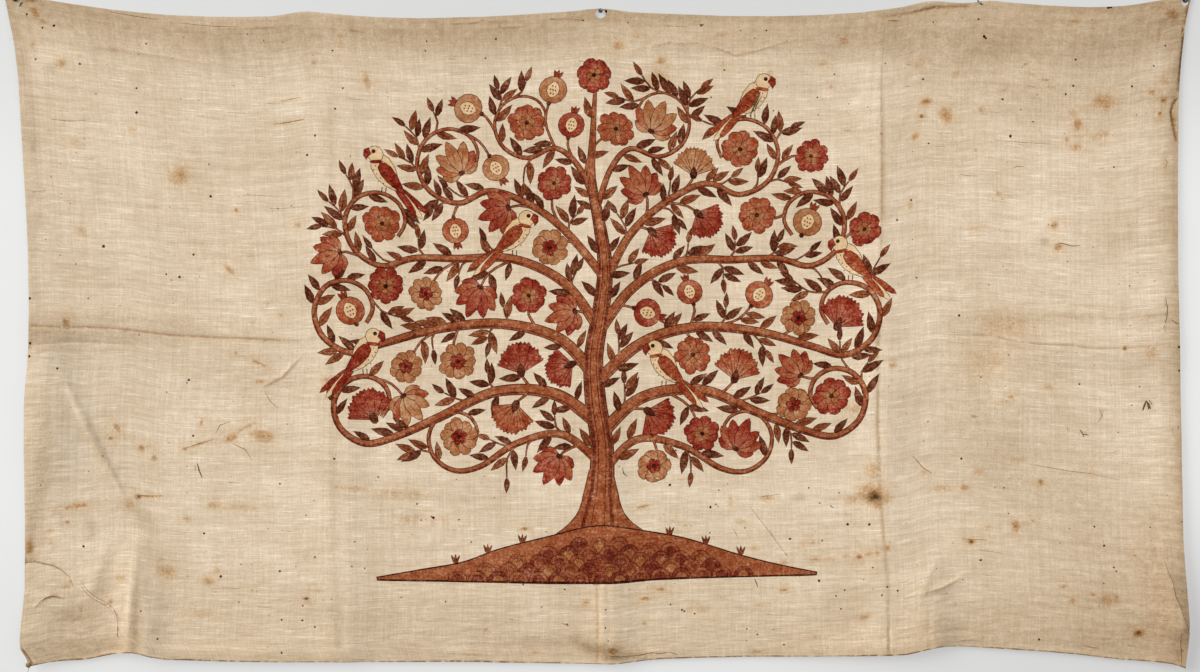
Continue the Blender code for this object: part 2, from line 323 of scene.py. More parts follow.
def flat_place(hung):
    """The flat place that hangs at x + 1j z: a first guess, moved again and again by how far off it hangs."""
    hung = np.asarray(hung, complex)
    flat = (hung + LEFT_AND_BELOW) * MM
    for _ in range(CORRECTIONS):
        across = np.clip(flat.real, -JUST_OUTSIDE, CLOTH_WIDTH + JUST_OUTSIDE)
        near = across + 1j * np.clip(flat.imag, -JUST_OUTSIDE, CLOTH_HEIGHT + JUST_OUTSIDE)
        flat = near + (hung - hung_place(near)) * MM
    return flat


print("the middle nail goes through the flat cloth at", np.round(flat_place([0j]), 3))

# %% [markdown]
# Relief. The cloth stands a few millimetres from the wall, and a table of broad folds says how far each one
# lifts it towards the viewer: the swags under the top edge, the old fold at half height, the packing creases
# and the soft folds at the foot. These are the folds of the solid that it replaces, in the same places.

# %% The broad folds
# millimetres: how the solid stands off the wall, and how far a nail's hold on the cloth reaches
BACK_AT_NAILS, SOLID_THICKNESS, NEAREST_TO_WALL = 3.0, 1.5, 1.6
FLAT_ROUND_NAIL, FOLDED_BEYOND_NAIL = 24.0, 75.0
HANG = [
    # z, depth
    (-1080, 7.0), (-800, 8.5), (-545, 9.0), (-300, 8.0), (30, 5.0),
]
FOLDS = {
    # x, z, width, rise
    "roll beside the left edge": [
        (-905, -480, 38, 0), (-902, -560, 38, 7), (-898, -700, 38, 9), (-903, -806, 34, 4),
        (-906, -870, 32, 0),
    ],
    "left edge, middle": [
        (-955, -250, 45, 0), (-943, -560, 48, 9), (-947, -720, 48, 9), (-948, -840, 42, 0),
    ],
    "left edge, foot": [(-951, -950, 48, 0), (-955, -1040, 48, 8), (-944, -1078, 44, 8)],
    "old fold, left half": [
        (-938, -523, 30, 3), (-830, -517, 30, 4), (-733, -525, 30, 3), (-646, -541, 28, 3),
        (-496, -544, 26, 1),
    ],
    "old fold, right half": [
        (642, -536, 28, 1), (771, -550, 30, 4), (862, -556, 30, 3), (955, -545, 28, 2),
    ],
    "old crease, left": [(-426, -60, 30, 1), (-426, -540, 30, 3), (-424, -1055, 30, 3)],
    "old crease, middle": [(12, -90, 30, 1), (14, -540, 30, 2), (17, -940, 32, 4), (17, -1070, 30, 8)],
    "old crease, right": [(458, -60, 30, 1), (466, -540, 30, 3), (470, -1050, 30, 3)],
    "swag, left": [(-800, -30, 45, 1), (-640, -70, 55, 5), (-530, -50, 45, 1)],
    "swag, left of the middle": [(-420, -40, 45, 1), (-250, -80, 60, 5), (-110, -45, 45, 1)],
    "swag, right of the middle": [(120, -40, 45, 1), (290, -75, 60, 5), (440, -45, 45, 1)],
    "swag, right": [(700, -25, 40, 1), (800, -50, 50, 4), (890, -30, 40, 1)],
    "fold of the lower left": [
        (-769, -844, 34, 0), (-762, -940, 34, 7), (-759, -1010, 32, 11), (-757, -1060, 32, 15),
    ],
    "fold of the lower right": [
        (557, -880, 34, 0), (530, -960, 34, 5), (542, -1010, 32, 9), (545, -1052, 32, 12),
    ],
    "deep fold at the right edge": [(905, -840, 32, 1), (930, -930, 30, 8), (948, -1010, 30, 12)],
    "right edge, foot": [
        (957, -680, 50, 1), (961, -860, 46, 7), (968, -1000, 46, 11), (966, -1080, 46, 11),
    ],
    "bottom edge, left": [(-707, -1069, 34, 7), (-560, -1071, 34, 6), (-430, -1072, 34, 3)],
    "bottom edge, right": [(330, -1065, 34, 3), (430, -1062, 34, 8), (500, -1060, 32, 8)],
    "hollow, left half": [(-700, -300, 150, -3), (-640, -800, 150, -4)],
    "hollow, right half": [(260, -300, 150, -3), (250, -800, 150, -4), (700, -800, 140, -3)],
}
NAIL_PLACES = {
    # x, z, shank radius, half width and half height of the worn hole
    "nail_left": (-964, 20, 1.4, 1.7, 1.7),
    "nail_middle": (0, 0, 1.2, 8.2, 6.9),
    "nail_right": (963, 18, 1.4, 5.8, 5.8),
    "bent_pin": (628, 10, 1.0, 1.3, 1.3),
}


def nearest_stretch(stations, hung):
    """For each place, how far it is from the line through the stations, and the station values beside it."""
    stations = np.asarray(stations, float)
    best = np.full(len(hung), math.inf)
    beside = np.zeros((len(hung), stations.shape[1] - 2))
    for start, end in zip(stations, stations[1:]):
        first, way = complex(*start[:2]), complex(*end[:2]) - complex(*start[:2])
        share = np.clip(((hung - first) / way).real, 0, 1)
        values = start[2:] + (end[2:] - start[2:]) * share[:, None]
        away = abs(hung - first - way * share)
        closer = away < best
        best[closer], beside[closer] = away[closer], values[closer]
    return best, beside


def broad_depth(hung):
    """How far the middle of the cloth stands from the wall at each x + 1j z, in millimetres."""
    depth = flowing_line(HANG, hung.imag)
    for stations in FOLDS.values():
        away, beside = nearest_stretch(stations, hung)
        depth += beside[:, 1] * np.exp(-((away / beside[:, 0]) ** 2))
    return np.maximum(depth, NEAREST_TO_WALL)


def free_of_nails(hung):
    """0 where a nail holds the cloth flat, 1 where it is free to fold."""
    away = np.min([abs(hung - complex(x, z)) for x, z, *_ in NAIL_PLACES.values()], axis=0)
    share = np.clip((away - FLAT_ROUND_NAIL) / (FOLDED_BEYOND_NAIL - FLAT_ROUND_NAIL), 0, 1)
    return share * share * (3 - 2 * share)


print(len(FOLDS), "broad folds")

# %% [markdown]
# Fine creases are what shows that this is thin old cotton. Each one is a line with its width and its height
# at a few stations: a positive height is a ridge and a negative one a trough. Its section is a soft peak with
# a shallow dip beside it, as a crease in cloth pulls its neighbours flat. A little crinkle of three sizes
# lies over everything, because nothing that has been folded for so long is smooth.

# %% The fine creases and the crinkle
CREASES = {
    # x, z, half width, height, in millimetres
    "half height, left": [
        (-938, -519, 3, -1.2), (-870, -521, 3, -1.4), (-793, -524, 2.5, -1.1), (-707, -534, 4, -1.1),
        (-640, -538, 2.5, -1.1), (-560, -541, 2.5, -1.2), (-496, -544, 3, -0.3),
    ],
    "half height, left, lower": [
        (-938, -551, 3, -1.2), (-870, -545, 3, -1.2), (-800, -548, 2.5, -0.9), (-740, -553, 2.5, -0.2),
    ],
    "half height, right": [
        (560, -534, 3, -0.2), (641, -535, 2.5, -1.0), (667, -542, 2.5, -1.2), (720, -549, 2.5, -1.1),
        (773, -551, 2.5, -1.1), (807, -556, 2.5, -1.0), (862, -556, 3, -0.8), (955, -546, 3, -0.4),
    ],
    "half height, middle": [
        (-496, -544, 3, -0.3), (-200, -540, 3, -0.4), (200, -538, 3, -0.4), (560, -534, 3, -0.2),
    ],
    "upright, left": [
        (-436, -30, 8, -0.4), (-436, -300, 8, -1.4), (-435, -560, 8, -1.3), (-430, -900, 8, -1.3),
        (-426, -1060, 8, -1.0),
    ],
    "upright, middle": [
        (4, -60, 3, 0.4), (4, -400, 3, 0.6), (3, -760, 3.5, 0.6), (3, -960, 4, 0.6), (4, -1066, 4.5, 1.0),
    ],
    "foot, dark line": [(-6, -925, 2, -0.1), (-5, -990, 2, -0.7), (-5, -1068, 2, -0.7)],
    "foot, second dark line": [(11, -900, 2, -0.1), (12, -980, 2, -0.4), (12, -1070, 2, -0.7)],
    "upright, right": [
        (462, -30, 4, 0.4), (463, -280, 3.5, 1.1), (461, -400, 3, 0.5), (457, -560, 3, -1.4),
        (457, -680, 3, -1.5), (460, -780, 3, -0.9), (474, -960, 3, -0.5), (474, -1052, 3, -0.9),
    ],
    "slanting ridge, left": [
        (-879, -610, 4, 0.8), (-870, -630, 5, 3.2), (-856, -661, 5.5, 4.6), (-838, -696, 5.5, 4.8),
        (-822, -728, 5.5, 4.8), (-807, -755, 4.5, 3.6), (-794, -781, 3.5, 2.2), (-783, -805, 3, 0.6),
    ],
    "top left, long": [
        (-842, -64, 3, 0.3), (-801, -64, 3, 0.9), (-743, -73, 3, 1.0), (-677, -84, 3, 0.8),
        (-644, -86, 3, 0.3),
    ],
    "top right, wavy": [
        (47, -68, 3, 0.4), (110, -54, 2.5, 1.0), (158, -54, 2.5, 1.2), (195, -64, 2.5, 1.2),
        (220, -74, 2.5, 1.3), (268, -64, 2.5, 1.2), (300, -54, 3, 0.9), (331, -49, 3, 0.3),
    ],
    "under the top edge, 1": [(-644, -31, 2.5, 0.4), (-560, -29, 2, 1.0), (-495, -23, 2.5, 0.3)],
    "under the top edge, 2": [(-454, -28, 2, 0.5), (-410, -33, 2, 1.0), (-367, -38, 2.5, 0.3)],
    "under the top edge, 3": [(-265, -23, 2, 0.4), (-215, -21, 2, 1.0), (-166, -18, 2.5, 0.3)],
    "under the top edge, 4": [(-199, -31, 2, 0.4), (-150, -28, 2, 0.9), (-100, -26, 2.5, 0.3)],
    "under the top edge, 5": [(-83, -13, 2, 0.4), (-50, -14, 2, 0.8), (-17, -16, 2.5, 0.3)],
    "under the top edge, 6": [(25, -15, 2, 0.4), (54, -15, 2, 0.9), (71, -14, 2.5, 0.3)],
    "under the pin": [
        (469, -10, 2.5, -0.4), (510, -4, 2, -1.4), (548, 5, 2, -1.6), (590, 7, 2, -1.2),
        (617, 8, 2.5, -0.3),
    ],
    "lower left, cracks": [
        (-947, -909, 2, -0.8), (-930, -908, 1.8, -1.6), (-899, -915, 1.8, -1.8), (-879, -928, 1.8, -1.8),
        (-867, -948, 2, -0.8),
    ],
    "lower left, arch": [
        (-861, -945, 2, 0.8), (-856, -943, 2, 1.8), (-846, -956, 2, 2.2), (-826, -971, 2, 2.4),
        (-808, -981, 2, 2.4), (-798, -992, 2, 2.2), (-796, -1006, 2, 1.8), (-796, -1029, 2, 0.6),
    ],
    "lower left, short": [
        (-928, -980, 2, 0.6), (-913, -967, 1.8, 1.4), (-902, -963, 1.8, 1.4), (-883, -968, 2, 0.5),
    ],
    "lower left, soft": [
        (-805, -880, 8, 0.5), (-828, -925, 9, 2.4), (-838, -960, 9, 2.0), (-845, -985, 8, 0.4),
    ],
    "lower left, pucker 1": [(-901, -1003, 2.5, -0.5), (-867, -1004, 2.5, -1.4), (-823, -997, 2.5, -0.5)],
    "lower left, pucker 2": [(-877, -1025, 2.5, -0.5), (-851, -1026, 2.5, -1.4), (-827, -1021, 2.5, -0.5)],
    "lower left, pucker 3": [(-881, -1048, 2.5, -0.5), (-865, -1049, 2.5, -1.5), (-831, -1043, 2.5, -0.6)],
    "lower left, pucker 4": [
        (-871, -1057, 2.5, -0.4), (-839, -1059, 2.5, -1.2), (-815, -1054, 2.5, -1.3),
        (-779, -1046, 2.5, -0.6),
    ],
    "lower left, pucker 5": [(-791, -1014, 2.5, 0.4), (-750, -1017, 2.5, 1.2), (-711, -1017, 2.5, 0.4)],
    "lower left, pucker 6": [(-741, -1054, 2.5, 0.4), (-690, -1058, 2.5, 1.2), (-637, -1060, 2.5, 0.4)],
    "lower left, fold's crest": [
        (-757, -850, 8, 0.3), (-764, -905, 7, 1.2), (-771, -957, 5.5, 2.4), (-775, -1005, 5, 3.2),
        (-777, -1058, 5, 3.0),
    ],
    "lower left, fold's valley": [(-755, -945, 8, -0.5), (-757, -1000, 8, -2.2), (-758, -1058, 8, -2.8)],
    "turned corner": [(-953, -1046, 2.5, -1.6), (-943, -1059, 2.5, -2.4), (-934, -1073, 2.5, -1.6)],
    "foot of the middle": [
        (17, -1062, 2.5, 2.2), (72, -1065, 2.2, 1.8), (93, -1055, 2.2, 2.0), (125, -1060, 2.2, 1.6),
        (139, -1062, 2.5, 0.5),
    ],
    "foot, left of the middle 1": [(-265, -1057, 2.5, 0.3), (-220, -1060, 2, 0.9), (-178, -1062, 2.5, 0.3)],
    "foot, left of the middle 2": [(-405, -1000, 4, 0.4), (-350, -1040, 4, 0.9), (-300, -1058, 4, 0.3)],
    "foot, left of the middle 3": [(-120, -1010, 4, 0.3), (-60, -1042, 4, 0.8), (-10, -1060, 4, 0.3)],
    "foot, left of the middle 4": [(-128, -1024, 3, 0.3), (-100, -1031, 3, 1.2), (-70, -1038, 3, 0.3)],
    "foot, left of the middle 5": [(-46, -1037, 3, -0.3), (-20, -1049, 3, -1.7), (0, -1063, 3, -0.6)],
    "lower right, slant": [
        (500, -966, 2.5, 0.8), (535, -958, 2.3, 2.5), (565, -948, 2.3, 2.8), (593, -933, 2.5, 1.0),
    ],
    "lower right, soft 1": [(557, -899, 4, 0.4), (541, -930, 4, 1.4), (525, -971, 4, 0.6)],
    "lower right, soft 2": [(542, -976, 4, -0.4), (540, -1020, 4, -1.6), (542, -1050, 4, -1.2)],
    "lower right, upright": [(474, -1020, 2.5, -0.8), (474, -1060, 2.5, -0.8)],
    "deep fold": [
        (918, -860, 6, 0.5), (929, -913, 6, 1.7), (940, -955, 5, 2.3), (951, -990, 5, 2.1),
        (960, -1020, 5, 1.0),
    ],
    "deep fold, foot": [(950, -1034, 4, -0.8), (950, -1078, 4, -2.0)],
    "lower right, pucker 1": [(800, -1030, 2.5, 0.4), (850, -1034, 2.5, 1.3), (905, -1030, 2.5, 0.5)],
    "foot, left pucker 1": [(-620, -1049, 2.5, 0.3), (-560, -1051, 2.5, 1.0), (-480, -1050, 2.5, 0.3)],
    "foot, left pucker 2": [(-560, -1035, 3, 0.3), (-500, -1033, 3, 1.0), (-430, -1036, 3, 0.3)],
    "foot, left pucker 4": [(-361, -1028, 3, 0.3), (-322, -1036, 3, 1.3), (-282, -1046, 3, 0.3)],
    "foot, left pucker 5": [(-429, -1049, 2.5, 0.3), (-398, -1053, 2.5, 1.2), (-368, -1055, 2.5, 0.3)],
    "foot, left pucker 3": [(-262, -1012, 3, 0.3), (-220, -1015, 3, 1.0), (-180, -1012, 3, 0.3)],
    "foot, right pucker 1": [(520, -1004, 3, 0.3), (560, -1001, 3, 1.3), (610, -1003, 3, 0.4)],
    "foot, right pucker 2": [(532, -1024, 3, -0.3), (580, -1020, 3, -1.3), (640, -1026, 3, -0.4)],
    "foot, right pucker 3": [(545, -1037, 2.5, 0.3), (600, -1035, 2.5, 1.2), (668, -1041, 2.5, 0.4)],
    "lower right, pucker 2": [(720, -1018, 3, 0.3), (765, -1015, 3, 1.2), (815, -1017, 3, 0.4)],
    "lower right, pucker 3": [(735, -1045, 2.5, -0.4), (790, -1050, 2.5, -1.2), (850, -1058, 2.5, -0.5)],
    "lower right, pucker 4": [(820, -990, 3, 0.3), (870, -984, 3, 1.1), (915, -990, 3, 0.3)],
    "left of the tree": [(-555, -620, 2.5, 0.5), (-523, -603, 2.2, 1.6), (-496, -574, 2.5, 0.5)],
    "left of the tree, branch": [(-555, -620, 2, 1.2), (-537, -655, 2.5, 0.5)],
    "right, hair line": [(929, -477, 2, 0.3), (929, -500, 2, 0.9), (929, -526, 2, 0.3)],
    "right of the hill": [(245, -816, 2, 0.3), (275, -855, 2, 0.8), (308, -902, 2, 0.3)],
    "turned edge, top right": [
        (968, 13, 2.5, -1.4), (966, -5, 2.5, -2.0), (961, -25, 2.5, -2.2), (959, -31, 2.5, -2.2),
        (961, -43, 2.5, -1.8), (951, -134, 3.5, -1.6), (939, -165, 3.5, -1.4), (948, -216, 3.5, -0.4),
    ],
}
CREASE_REACH, CREASE_DIP = 5, 0.35
CRINKLE = [
    # size across and up, height, in millimetres
    (90, 60, 0.9), (36, 20, 0.42), (14, 9, 0.14),
]
LAYERS_APART = 7.0


def crease_height(hung):
    """How far the fine creases lift the cloth at each x + 1j z."""
    height = np.zeros(len(hung))
    for stations in CREASES.values():
        away, beside = nearest_stretch(stations, hung)
        near = away < CREASE_REACH * beside[:, 0]
        share = (away[near] / beside[near, 0]) ** 2
        height[near] += beside[near, 1] * (1 - CREASE_DIP * share) * np.exp(-share)
    return height


def crinkle_height(hung):
    """How far the crinkle lifts the cloth at each x + 1j z: one layer of noise for each of its sizes."""
    height = np.zeros(len(hung))
    for k, (across, up, rise) in enumerate(CRINKLE):
        height += rise * np.array([
            noise.noise((place.real / across, place.imag / up, LAYERS_APART * k)) for place in hung
        ])
    return height


def cloth_depth(hung):
    """How far the middle of the thin cloth stands from the wall, with all its folds, creases and crinkles."""
    held = BACK_AT_NAILS + SOLID_THICKNESS / 2
    depth = broad_depth(hung) + crease_height(hung) + crinkle_height(hung)
    depth = np.maximum(depth, NEAREST_TO_WALL)
    return held + (depth - held) * free_of_nails(hung)


print(len(CREASES), "creases")

# %% [markdown]
# The painting. It is a generic tree of life of the kind that cotton painters have long drawn: a trunk on a
# scaly hill, boughs that end in scrolls, flowers, leaves and small parrots. It is made of flat shapes that
# later become faces of the cloth itself, because a face edge stays as crisp as a pen line at any distance.
#
# The shapes are drawn in the cloth's own plane, in millimetres from the middle of the hill's foot. A place
# there is one complex number, whose real part goes to the right and whose imaginary part goes up, so turning
# a motif is one multiplication. A shape that is painted later covers the earlier ones.

# %% The dyes, and how a shape is painted
DYES = {
    # name: red, green, blue on this cloth, as the eye sees them, 0 to 255
    "ink": (60, 23, 12),
    "dark brown": (84, 37, 20),
    "leaf rust": (123, 60, 31),
    "bark": (154, 84, 50),
    "bark shade": (112, 50, 29),
    "madder": (131, 40, 23),
    "deep red": (96, 30, 17),
    "rust": (147, 63, 34),
    "tan": (160, 96, 56),
    "pale": (224, 190, 144),
    "hill": (144, 74, 44),
    "hill red": (122, 52, 33),
}
hand = random.Random(11)
painted = []


def towards(degrees, distance=1.0):
    """The step of that distance in that direction, counted from straight right."""
    return distance * np.exp(1j * np.radians(degrees))


def paint(outline, dye, fade=None):
    """One closed shape. A fade is where the dye is full, where it is weakest, and its strength there."""
    painted.append((np.asarray(outline, complex), dye, fade))


def inset(outline, distance):
    """The outline drawn in towards its own inside, whichever way round it runs."""
    along = np.roll(outline, -1) - np.roll(outline, 1)
    way_round = np.sign(np.sum((np.conj(outline) * np.roll(outline, -1)).imag))
    return outline + 1j * way_round * distance * along / np.maximum(abs(along), 1e-9)


def inked(outline, dye, line=1.0, fade=None):
    """A shape in one dye, with an ink line round it."""
    outline = np.asarray(outline, complex)
    paint(outline, "ink")
    paint(inset(outline, line), dye, fade)


def stroke(route, width, ends=(0.35, 0.15)):
    """The outline of a line drawn along the route, thinner at its two ends."""
    route = np.asarray(route, complex)
    along = np.gradient(route)
    full = np.interp(np.linspace(0, 1, len(route)), (0, 0.4, 1), (ends[0], 1, ends[1]))
    aside = 0.5j * width * full * along / abs(along)
    return np.concatenate([route - aside, (route + aside)[::-1]])


def pen(route, width, dye="ink", ends=(0.35, 0.15)):
    """A line drawn along the route."""
    paint(stroke(route, width, ends), dye)


def blade(root, along, width, at_root=1.0, at_tip=1.2, bend=0.0, sides=5):
    """A leaf or petal from root to root + along. An end is pointed if its power is 1 or more, else round."""
    share = (1 - np.cos(np.pi * np.linspace(0, 1, sides + 1))) / 2
    half = share ** at_root * (1 - share) ** at_tip
    half *= width / 2 / half.max()
    spine = root + along * (share + 1j * bend * share * share)
    aside = 1j * along / abs(along) * half
    return np.concatenate([spine - aside, (spine + aside)[-2:0:-1]])


def disc(middle, radius, sides=12, squash=1.0, degrees=0.0):
    """A round or flattened outline."""
    angle = 2 * np.pi * np.arange(sides) / sides
    return middle + radius * (np.cos(angle) + 1j * squash * np.sin(angle)) * towards(degrees)


print(len(DYES), "dyes mixed")

# %% [markdown]
# Leaves and flowers. Each is a few blades round a root. In a petal the dye is strongest along the outer edge
# and thins out towards the root, as it does when a painter washes a petal with a wet brush. Every length and
# angle varies a little, because a hand never draws the same flower twice.

# %% A leaf and four kinds of flower
FINE_LINE = 1.1
LEAF_BEND = 0.16
LOTUS_PETALS = (
    # degrees from the middle, length
    (82, 0.52), (-82, 0.52), (56, 0.7), (-56, 0.7), (30, 0.8), (-30, 0.8), (0, 0.88),
)
LOTUS_SECOND_RING = 56
CARNATION_PETALS = (56, -56, 34, -34, 12, -12)
SEEDS = (
    # along the fruit, across it
    (-0.1, 0.04), (-0.1, -0.04), (0, -0.07), (0, 0), (0, 0.07), (0.1, 0.04), (0.1, -0.04),
)


def leaf(root, degrees, length, dye):
    """A pointed leaf with one rib."""
    along, bend = towards(degrees, length), hand.uniform(-LEAF_BEND, LEAF_BEND)
    inked(blade(root, along, 0.38 * length, 0.8, 1.25, bend), dye, 0.9, (root, root + along, 0.8))
    share = np.linspace(0.02, 0.8, 4)
    rib = root + along * (share + 1j * bend * share ** 2)
    pen(rib, FINE_LINE, "leaf rust" if dye == "dark brown" else "ink")


def washed(root, along):
    """The fade of a petal: its dye is full near the tip and half as strong near the root."""
    return root + 0.95 * along, root + 0.2 * along, 0.5


def petal(root, along, width, dye, at_tip=0.5):
    """A petal with a vein."""
    inked(blade(root, along, width, 0.85, at_tip), dye, 1.0, washed(root, along))
    pen([root + 0.15 * along, root + 0.45 * along, root + 0.76 * along], FINE_LINE, "deep red")


def rosette(middle, degrees, size, dye):
    """An open flower seen from the front: a ring of petals, a smaller one on it, and a dark eye."""
    petals, start = hand.choice((7, 8, 8, 9)), hand.uniform(0, 360)
    for k in range(petals):
        turn = start + 360 * k / petals + hand.uniform(-5, 5)
        petal(middle, towards(turn, 0.5 * size * hand.uniform(0.92, 1.08)), 3.05 * size / petals, dye)
    for k in range(5):
        ray = towards(start + 36 + 72 * k, 0.23 * size)
        inked(blade(middle, ray, 0.19 * size, 0.7, 0.5, 0, 3), "madder" if dye == "tan" else "tan", 0.8)
    paint(disc(middle, 0.065 * size, 8), "ink")


def lotus(middle, degrees, size, dye):
    """A flower seen from the side: pointed petals spread like a fan, over a dark cup."""
    root = middle - towards(degrees, 0.38 * size)
    second = "madder" if dye == "rust" else "rust"
    for spread, reach in LOTUS_PETALS:
        along = towards(degrees + spread, reach * size * hand.uniform(0.95, 1.05))
        petal(root, along, 0.33 * size, second if abs(spread) == LOTUS_SECOND_RING else dye, 0.8)
    inked(disc(root, 0.1 * size, 8, 0.7, degrees - 90), "dark brown", 0.8)


def carnation(middle, degrees, size, dye):
    """A fan of petals with a saw-toothed edge, on a long cup."""
    root, cup = middle - towards(degrees, 0.4 * size), towards(degrees, 0.4 * size)
    for spread in CARNATION_PETALS:
        along = towards(degrees + spread, size * (0.86 - 0.003 * abs(spread)))
        teeth = [along * (0.93 + 0.07 * (k % 2) + 0.4j * (k / 6 - 0.5)) for k in range(7)]
        fan = np.array([-0.05j * along] + teeth + [0.05j * along])
        inked(root + fan, dye, 1.0, washed(root, along))
        pen(root + along * np.array([0.2, 0.5 + 0.02j, 0.82]), 1.0, "deep red")
    inked(blade(root - towards(degrees, 0.14 * size), cup, 0.23 * size, 0.5, 0.9), "dark brown", 0.9)


def pomegranate(middle, degrees, size, dye):
    """A round fruit with a small crown, and seeds in a pale window."""
    ahead = towards(degrees, size)
    for spread in (-28, 0, 28):
        tip = 0.27 * ahead * towards(spread)
        inked(blade(middle + 0.3 * ahead, tip, 0.13 * size, 0.5, 1, 0, 3), "rust", 0.8)
    fade = (middle - 0.4 * ahead, middle + 0.4 * ahead, 0.55)
    inked(disc(middle, 0.37 * size, 14, 1.06, degrees), dye, 1.1, fade)
    inked(blade(middle - 0.22 * ahead, 0.46 * ahead, 0.34 * size, 0.7, 0.7), "pale", 0.9)
    for up, aside in SEEDS:
        paint(disc(middle + ahead * (up + 1j * aside), 0.026 * size, 5), "madder")
    inked(disc(middle - 0.38 * ahead, 0.07 * size, 6), "dark brown", 0.7)


# the flowers take turns along the tree; a rosette is seen from the front, so the way it faces changes nothing
FLOWERS = (rosette, lotus, rosette, carnation, pomegranate)
print("flowers", [flower.__name__ for flower in FLOWERS])

# %% [markdown]
# The lines of the tree. The trunk sways, and each bough passes a few places and then winds into a scroll. One
# table serves both sides, and the left side is the right one turned over with its own small shifts. A smooth
# curve through the places keeps every bough free of corners.

# %% Trunk, roots and boughs
TRUNK = [
    # across, up
    (-4, 66), (4, 145), (6, 218), (-5, 291), (-11, 364), (2, 437), (11, 510), (3, 583), (-8, 656),
    (-3, 729), (2, 802),
]
TRUNK_WIDTHS = (86, 44, 39, 36, 33, 30, 26, 21, 16, 11, 6)
ROOTS = [
    # places from the trunk down to the hill, widths there
    ([(-9, 178), (-17, 122), (-38, 88), (-76, 66)], (14, 26, 22, 8)),
    ([(16, 182), (23, 126), (42, 90), (84, 64)], (14, 26, 22, 8)),
]
BOUGHS = [
    # places that it passes, the middle of its scroll, how far the scroll turns, width at the trunk
    ([(6, 172), (62, 226), (140, 214), (204, 176)], (240, 230), 330, 15),
    ([(4, 236), (70, 296), (168, 308), (262, 270), (336, 240)], (382, 296), 350, 22),
    ([(-8, 318), (66, 384), (160, 412), (268, 404), (356, 378)], (410, 434), 350, 21),
    ([(-4, 400), (58, 478), (140, 522), (232, 526), (306, 528)], (358, 588), 350, 18),
    ([(8, 480), (52, 562), (112, 616), (182, 648)], (240, 706), 340, 15),
    ([(-2, 600), (28, 672), (66, 712)], (112, 764), 330, 11),
]
BOUGH_SHIFT, LEFT_STARTS_HIGHER = 9, 14
BOUGH_FLOWER_LEAN, BOUGH_FLOWER_SIZE = 25, 64
# the flower at the tree's top: its middle, the way that it faces, its size
TOP_FLOWER = (826j, 90, 58)


def smooth_line(places, step=8.0):
    """Places about a step apart on one smooth curve through those given."""
    places = np.asarray(places, complex)
    line = [places[:1]]
    for k, (start, end) in enumerate(zip(places, places[1:])):
        leave = (end - places[max(k - 1, 0)]) / 2
        arrive = (places[min(k + 2, len(places) - 1)] - start) / 2
        t = np.linspace(0, 1, max(round(abs(end - start) / step), 1) + 1)[1:]
        rest = 1 - t
        bend = leave * t * rest * rest - arrive * t * t * rest
        line.append(start * rest * rest * (1 + 2 * t) + end * t * t * (3 - 2 * t) + bend)
    return np.concatenate(line)


def scroll(start, middle, degrees, tightness=0.58, stations=8):
    """Places on a spiral that winds from start round the middle, closer with each step."""
    share = np.arange(1, stations + 1) / stations
    return middle + (start - middle) * (1 - tightness * share) * towards(degrees * share)


wood_lines = [(smooth_line(places_in(TRUNK), 24), TRUNK_WIDTHS)]
flower_places = [TOP_FLOWER]
for side in (1, -1):
    for passes, middle, turn, width in BOUGHS:
        shift = complex(hand.uniform(-BOUGH_SHIFT, BOUGH_SHIFT), hand.uniform(-BOUGH_SHIFT, BOUGH_SHIFT))
        middle = complex(*middle) + shift
        places = places_in(passes) + shift * np.linspace(0, 1, len(passes))
        places = np.concatenate([places, scroll(places[-1], middle, turn)])
        if side < 0:
            lift = np.exp(-np.arange(len(places)) / 3)
            places = np.concatenate([places[:1], -places[1:].conjugate()]) + LEFT_STARTS_HIGHER * 1j * lift
            middle = -middle.conjugate()
        wood_lines.append((smooth_line(places, 10), (width, 0.8 * width, 0.5 * width, 0.3 * width + 1)))
        flower_places.append((middle, 90 - BOUGH_FLOWER_LEAN * side, BOUGH_FLOWER_SIZE))
print(len(wood_lines), "lines of wood")

# %% [markdown]
# Side shoots fill the canopy. For every place along the wood, the ends that a shoot could reach are listed,
# and how roomy each end is: its distance from flowers, birds and wood, as a share of what it needs. The shoot
# with the most room is drawn, the room of the others shrinks, and so on until none has enough. The same
# search gives the flower stems first and then the leafy sprays between them.

# %% Side shoots where there is room
CANOPY_MIDDLE, CANOPY_HALF_WIDTH, CANOPY_ABOVE, CANOPY_BELOW = 518j, 484, 326, 366
CANOPY_SQUARENESS = 2.8
LOWEST_SHOOT = 196
KNEE_TURN = 17
PERCHES = [
    # across, up, which way the bird faces, how far it leans
    (262, 768, 1, 0), (-352, 648, -1, 5), (-142, 532, 1, -5), (424, 488, -1, 0),
    (-395, 350, 1, 4), (110, 308, -1, 0),
]
BIRD_HEAD_BODY_TAIL = ((22, 52), (-2, 18), (-38, -16))


def gap(places, others, half=0.0):
    """How far each place is from the nearest of the others, which may have a half width."""
    return (np.abs(np.atleast_1d(places)[:, None] - np.asarray(others)[None]) - half).min(axis=1)


def in_canopy(place, margin=0.0):
    """Whether the place is in the canopy: half an ellipse above its middle, and a squarer half below."""
    away = place - CANOPY_MIDDLE
    if away.imag > 0:
        return math.hypot(away.real / (CANOPY_HALF_WIDTH - margin), away.imag / (CANOPY_ABOVE - margin)) < 1
    across, down = abs(away.real) / (CANOPY_HALF_WIDTH - margin), -away.imag / (CANOPY_BELOW - margin)
    return across ** CANOPY_SQUARENESS + down ** CANOPY_SQUARENESS < 1


def heading(step):
    """The direction of a step, in degrees from straight right."""
    return np.degrees(np.angle(step))


def half_widths(line, widths):
    """Half the width at each place of the line, from widths that are evenly spaced along it."""
    return np.interp(np.linspace(0, 1, len(line)), np.linspace(0, 1, len(widths)), widths) / 2


